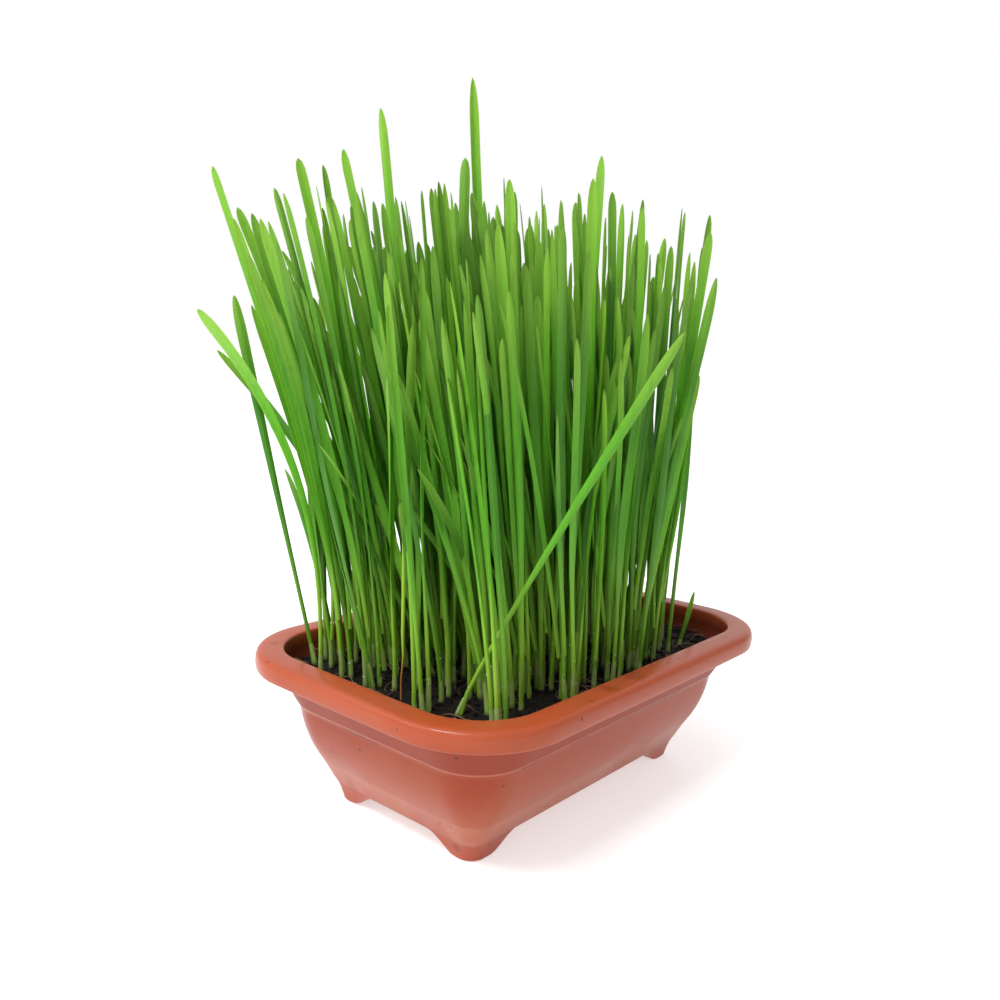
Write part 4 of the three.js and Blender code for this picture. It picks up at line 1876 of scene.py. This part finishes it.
    def mesh(self, name: str, lines: Sequence[LeafLine]) -> bpy.types.Mesh:
        """Turns the lines into edges with what each point needs stored on it.

        Args:
            name: The mesh's name.
            lines: The lines.

        Returns:
            The mesh.
        """
        points = np.vstack([np.array(line.points) for line in lines])
        counts = [len(line.points) for line in lines]
        edges: list[tuple[int, int]] = []
        for count, end in zip(counts, np.cumsum(counts).tolist()):
            edges += [(i, i + 1) for i in range(end - count, end - 1)]
        mesh = bpy.data.meshes.new(name)
        mesh.from_pydata([tuple(p) for p in in_row(points)], edges, [])

        def store(label: str, values: Any, kind: str = "FLOAT") -> None:
            """Stores one number, or one direction, for each point."""
            made = mesh.attributes.new(label, kind, "POINT")
            made.data.foreach_set("value" if kind == "FLOAT" else "vector",
                                  np.asarray(values, np.float32).ravel())

        def gathered(label: str) -> list[Any]:
            """Returns every line's values one after the other."""
            return [value for line in lines for value in getattr(line, label)]

        store("side", gathered("sides"), "FLOAT_VECTOR")
        store("front", gathered("fronts"), "FLOAT_VECTOR")
        store("half_width", np.array(gathered("half_widths")) * MM)
        store("half_depth", np.array(gathered("half_depths")) * MM)
        store("keel", gathered("keels"))
        for label in ("opened", "along"):
            store(label, gathered(label))
        for label in ("shade", "sleeve", "dry"):
            store(label, np.repeat([getattr(line, label) for line in lines], counts))
        store("rise", points[:, 2] - self.soil_level)
        return mesh


@dataclass
class Stand:
    """All the shoots, one piece for each tuft and each lone shoot."""

    growth: Growth = field(default_factory=Growth)
    builder: ShootBuilder = field(default_factory=ShootBuilder)
    weaver: LeafWeaver = field(default_factory=LeafWeaver)
    finish: LeafFinish = field(default_factory=LeafFinish)
    seed: int = 5
    smooth_below: float = 62.0

    SPENT: ClassVar[tuple[str, ...]] = ("side", "front", "half_width", "half_depth", "keel",
                                        "opened", "centre", "around")

    def dress(self) -> list[bpy.types.Object]:
        """Grows the stand.

        Returns:
            Its pieces.
        """
        chance = random.Random(self.seed)
        cover = self.finish.material()
        tree = self.weaver.tree()
        tufts, lone = self.growth.grow()
        groups = {f"wheat_tuft_{i + 1:02d}": shoots for i, shoots in enumerate(tufts)}
        groups |= {shoot.name: [shoot] for shoot in lone}
        solids = set(groups)
        groups["end_sprigs"] = self.growth.sprigs()
        plans: dict[str, bpy.types.Mesh] = {}
        for node, shoots in groups.items():
            lines = [line for shoot in shoots for line in self.builder.plan(shoot, chance)]
            plans[node] = self.builder.mesh(node + "_lines", lines)
        pieces = []
        for node, mesh in woven(plans, tree, {"Finish": cover}).items():
            stripped(mesh, self.SPENT)
            tidied(mesh, self.smooth_below)
            stands_for = [node] if node in solids else []
            pieces.append(settled(linked(node + "_leaves", mesh), stands_for))
        log.info("shoots: %d", sum(map(len, groups.values())))
        return pieces


# ---- Soil ----


@dataclass
class SoilBed:
    """Potting soil that fills the tray, with crumbs and fibres on top. Sizes in millimetres."""

    tray: Tray
    level: float = 55.0
    bottom: float = 9.3
    roll: float = 0.9
    top_rings: int = 36
    top_shares: Range = (0.985, 0.03)
    lumps_per_m: float = 230.0
    lump_height: float = 4.2
    lump_middle: float = 0.42
    dents_per_m: float = 900.0
    dent_depth: float = 1.6
    crumb_radius: float = 1.0
    crumb_scales: Range = (0.35, 1.5)
    crumbs_per_m2: float = 70000.0
    fibres_per_m2: float = 14000.0
    fibre_radius: float = 0.11
    fibre_scales: Range = (0.5, 1.7)
    fibre_lift: float = 1.1
    smooth_below: float = 40.0
    fibre_smooth_below: float = 70.0
    finish: PottingSoil = field(default_factory=PottingSoil)
    fibre: DryFibre = field(default_factory=DryFibre)

    # Insets and heights of the filling's side, 0.3 mm inside the tray's wall.
    SIDE: ClassVar[tuple[Spot, ...]] = (
        (35.8, 9.3), (34.2, 11.2), (31.0, 15.0), (27.8, 22.0), (24.3, 29.0), (21.8, 37.0),
        (20.2, 43.0), (15.3, 51.0), (13.4, 53.7))
    # A fibre's bow, in millimetres.
    BOW: ClassVar[dict[str, Point]] = {
        "Start": (-4.0, 0.0, -0.2), "Start Handle": (-1.5, 3.0, 1.2),
        "End Handle": (2.0, -2.8, 1.6), "End": (4.5, 1.0, 0.2)}

    def top(self, ring: np.ndarray) -> np.ndarray:
        """Returns a ring laid on the rolling surface."""
        x, y = ring[:, 0], ring[:, 1]
        ring[:, 2] = self.level + self.roll * np.sin(x / 11 + 1) * np.cos(y / 15)
        return ring

    def bed(self) -> bpy.types.Mesh:
        """Builds the filling as one closed body.

        Returns:
            Its mesh.
        """
        rail = self.tray.rail()
        rings = [self.tray.ring(rail, inset, z) for inset, z in self.SIDE]
        edge = rings[-1]
        for share in np.linspace(*self.top_shares, self.top_rings):
            rings.append(self.top(edge * np.array([share, share, 1.0])))
        return lofted("soil_bed", rings, (0.0, 0.0, self.bottom),
                      (0.0, 0.0, self.level + self.roll * math.sin(1)))

    def tree(self) -> bpy.types.NodeTree:
        """Builds the tree that roughens the surface and scatters crumbs over it.

        Returns:
            The tree.
        """
        g = GeometryBench("soil_crumbler")
        density = g.size("Crumbs per square metre", "NodeSocketFloat", self.crumbs_per_m2)
        radius = g.size("Crumb radius", "NodeSocketFloat", self.crumb_radius * MM)
        cover = g.size("Finish", "NodeSocketMaterial", None)
        upward = g.facing_up()
        lift = g.times(g.minus(g.noise(None, self.lumps_per_m), self.lump_middle),
                       self.lump_height * MM)
        offset = g.add("ShaderNodeCombineXYZ")
        g.feed(offset.inputs[2], lift)
        rough = g.chain("GeometryNodeSetPosition", g.source.outputs["Geometry"],
                        {"Selection": upward, "Offset": offset.outputs[0]})
        dent = g.vector("SCALE", g.add("GeometryNodeInputNormal").outputs[0],
                        g.times(g.minus(g.noise(None, self.dents_per_m, 2.0), 0.5),
                                self.dent_depth * MM))
        crumb = g.chain("GeometryNodeSetPosition", g.ball(radius, 1), {"Offset": dent})
        placed = g.set_on(g.strewn(rough, upward, density, 3), crumb, {
            "Rotation": g.turned((0.0, 0.0, 0.0), (2 * math.pi,) * 3, 8),
            "Scale": g.between(*self.crumb_scales, 9)})
        joined = g.add("GeometryNodeJoinGeometry")
        g.feed(joined.inputs[0], rough)
        g.feed(joined.inputs[0], placed)
        return g.finish(joined.outputs[0], cover)

    def fibre_tree(self) -> bpy.types.NodeTree:
        """Builds the tree that lays short curled fibres on the surface.

        Returns:
            The tree.
        """
        g = GeometryBench("fibre_strewer")
        density = g.size("Fibres per square metre", "NodeSocketFloat", self.fibres_per_m2)
        cover = g.size("Finish", "NodeSocketMaterial", None)
        points = g.strewn(g.source.outputs["Geometry"], g.facing_up(), density, 14)
        bow = g.add("GeometryNodeCurvePrimitiveBezierSegment")
        g.feed(bow.inputs["Resolution"], 6)
        for label, place in self.BOW.items():
            g.feed(bow.inputs[label], Vector(place) * MM)
        strand = g.chain("GeometryNodeCurveToMesh", bow.outputs[0], {
            "Profile Curve": g.hoop(3, self.fibre_radius * MM), "Fill Caps": True})
        placed = g.set_on(points, strand, {
            "Rotation": g.turned((-0.25, -0.25, 0.0), (0.25, 0.25, 2 * math.pi), 15),
            "Scale": g.between(*self.fibre_scales, 16)})
        lifted = g.chain("GeometryNodeTranslateInstances", placed,
                         {"Translation": (0.0, 0.0, self.fibre_lift * MM)})
        return g.finish(lifted, cover)

    def dress(self) -> list[bpy.types.Object]:
        """Builds the soil and its fibres.

        Returns:
            The pieces.
        """
        soil = woven({"potting_soil": self.bed()}, self.tree(),
                     {"Finish": self.finish.material()})["potting_soil"]
        fibres = woven({"root_fibres": self.bed()}, self.fibre_tree(),
                       {"Finish": self.fibre.material()})["root_fibres"]
        tidied(soil, self.smooth_below)
        tidied(fibres, self.fibre_smooth_below)
        return [settled(linked("potting_soil", soil), ["soil"]),
                settled(linked("root_fibres", fibres))]


@dataclass
class Dew:
    """Small drops on the sleeves near the soil. Sizes in millimetres."""

    radius: float = 0.2
    scales: Range = (0.4, 1.3)
    rises: Range = (2.5, 26.0)
    per_m2: float = 15000.0
    smooth_below: float = 80.0
    finish: Water = field(default_factory=Water)

    SPENT: ClassVar[tuple[str, ...]] = ("across", "along", "shade", "sleeve", "dry", "rise")

    def tree(self) -> bpy.types.NodeTree:
        """Builds the tree that sets drops on the sleeves and the stalks.

        Returns:
            The tree.
        """
        g = GeometryBench("dew_setter")
        density = g.size("Drops per square metre", "NodeSocketFloat", self.per_m2)
        radius = g.size("Drop radius", "NodeSocketFloat", self.radius * MM)
        cover = g.size("Finish", "NodeSocketMaterial", None)
        rise = g.read("rise")
        where = g.times(g.math("LESS_THAN", rise, self.rises[1]),
                        g.math("GREATER_THAN", rise, self.rises[0]))
        points = g.strewn(g.source.outputs["Geometry"], where, density, 31)
        placed = g.set_on(points, g.ball(radius, 2), {"Scale": g.between(*self.scales, 32)})
        return g.finish(placed, cover)

    def dress(self, leaves: Sequence[bpy.types.Object]) -> bpy.types.Object:
        """Sets drops on leaves.

        Args:
            leaves: The pieces that they sit on.

        Returns:
            The drops as one piece.
        """
        joined = bmesh.new()
        for piece in leaves:
            joined.from_mesh(piece.data)
        plan = bpy.data.meshes.new("dew_plan")
        joined.to_mesh(plan)
        joined.free()
        mesh = woven({"dew_drops": plan}, self.tree(),
                     {"Finish": self.finish.material()})["dew_drops"]
        stripped(mesh, self.SPENT)
        tidied(mesh, self.smooth_below)
        return settled(linked("dew_drops", mesh))


# ---- Studio ----


@dataclass(frozen=True)
class Viewpoint:
    """Where the camera stands. Angles in degrees, sizes in millimetres from the tray's rim.

    How near and how far it sees is in metres.
    """

    azimuth: float = 40.42
    elevation: float = 8.976
    roll: float = 2.4226
    distance: float = 401.97
    aside: float = -11.784
    above: float = 56.96
    rim: float = 66.0
    lens: float = 33.04
    sensor: float = 36.0
    sees: Range = (0.01, 50.0)

    def place(self) -> bpy.types.Object:
        """Creates the camera and makes it the scene's.

        Returns:
            The camera.
        """
        a, e, r = (math.radians(v) for v in (self.azimuth, self.elevation, self.roll))
        back = Vector((math.sin(a) * math.cos(e), -math.cos(a) * math.cos(e), math.sin(e)))
        level_right = Vector((math.cos(a), math.sin(a), 0.0))
        level_up = back.cross(level_right)
        right = math.cos(r) * level_right + math.sin(r) * level_up
        up = -math.sin(r) * level_right + math.cos(r) * level_up
        eye = back * self.distance + level_right * self.aside + level_up * self.above
        eye = (eye + Vector((0.0, 0.0, self.rim))) * MM + TRAY_MIDDLE
        data = bpy.data.cameras.new("camera")
        data.lens, data.sensor_width = self.lens, self.sensor
        data.clip_start, data.clip_end = self.sees
        camera = bpy.data.objects.new("camera", data)
        turn = Matrix((right, up, back)).transposed().to_4x4()
        camera.matrix_world = Matrix.Translation(eye) @ turn
        bpy.context.scene.collection.objects.link(camera)
        bpy.context.scene.camera = camera
        return camera


@dataclass(frozen=True)
class Softbox:
    """One rectangular area light, aimed at the object. Sizes in metres."""

    name: str
    place: Point
    sides: Spot
    power: float
    colour: Colour = (1.0, 1.0, 1.0)

    def hang(self, aim: Point) -> None:
        """Creates the light.

        Args:
            aim: The point that it shines at.
        """
        data = bpy.data.lights.new(self.name, "AREA")
        data.shape = "RECTANGLE"
        data.size, data.size_y = self.sides
        data.energy = self.power
        data.color = self.colour
        lamp = bpy.data.objects.new(self.name, data)
        lamp.location = self.place
        direction = Vector(aim) - Vector(self.place)
        lamp.rotation_euler = direction.to_track_quat("-Z", "Y").to_euler()
        bpy.context.scene.collection.objects.link(lamp)


@dataclass
class Studio:
    """White floor, white surroundings and soft lights."""

    floor_half: float = 40.0
    surround: float = 1.0
    dim_towards: Point = (0.93, 0.30, 0.20)
    dim_range: Range = (0.15, 0.85)
    dim_share: float = 0.5
    aim: Point = (0.0, 0.0, 0.12)
    floor: WhiteFloor = field(default_factory=WhiteFloor)
    lights: tuple[Softbox, ...] = (
        Softbox("key", (-0.75, -1.0, 1.0), (0.6, 0.6), 4.0, (1.0, 0.985, 0.96)),
        Softbox("strip", (0.02, -0.76, 1.15), (0.62, 0.08), 14.0),
    )

    def surroundings(self) -> bpy.types.World:
        """Makes the surroundings, white and dimmer towards one side.

        Returns:
            The surroundings.
        """
        world = bpy.data.worlds.new("studio")
        world.use_nodes = True
        bench = NodeBench(world.node_tree)
        sky = world.node_tree.nodes["Background"]
        bench.feed(sky.inputs["Color"], (1.0, 1.0, 1.0, 1.0))
        facing = bench.add("ShaderNodeVectorMath", operation="DOT_PRODUCT")
        bench.feed(facing.inputs[0], bench.add("ShaderNodeTexCoord").outputs["Generated"])
        bench.feed(facing.inputs[1], self.dim_towards)
        dim = bench.add("ShaderNodeMapRange", interpolation_type="SMOOTHSTEP")
        for socket, value in zip(dim.inputs, (facing.outputs["Value"], *self.dim_range,
                                              self.surround, self.surround * self.dim_share)):
            bench.feed(socket, value)
        bench.feed(sky.inputs["Strength"], dim.outputs[0])
        return world

    def set_up(self) -> None:
        """Builds the floor, the surroundings and the lights."""
        half = self.floor_half
        mesh = bpy.data.meshes.new("studio_floor")
        corners = [(-half, -half, 0.0), (half, -half, 0.0), (half, half, 0.0), (-half, half, 0.0)]
        mesh.from_pydata(corners, [], [(0, 1, 2, 3)])
        mesh.materials.append(self.floor.material())
        linked("studio_floor", mesh)
        bpy.context.scene.world = self.surroundings()
        bpy.context.scene.view_settings.view_transform = "Standard"
        for light in self.lights:
            light.hang(self.aim)


def main() -> None:
    """Builds every piece in order."""
    logging.basicConfig(level=logging.INFO, format="%(name)s: %(message)s")
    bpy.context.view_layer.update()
    Viewpoint().place()
    Studio().set_up()
    tray = Tray()
    tray.dress()
    SoilBed(tray).dress()
    leaves = Stand().dress()
    Dew().dress(leaves)


if __name__ == "__main__":
    main()
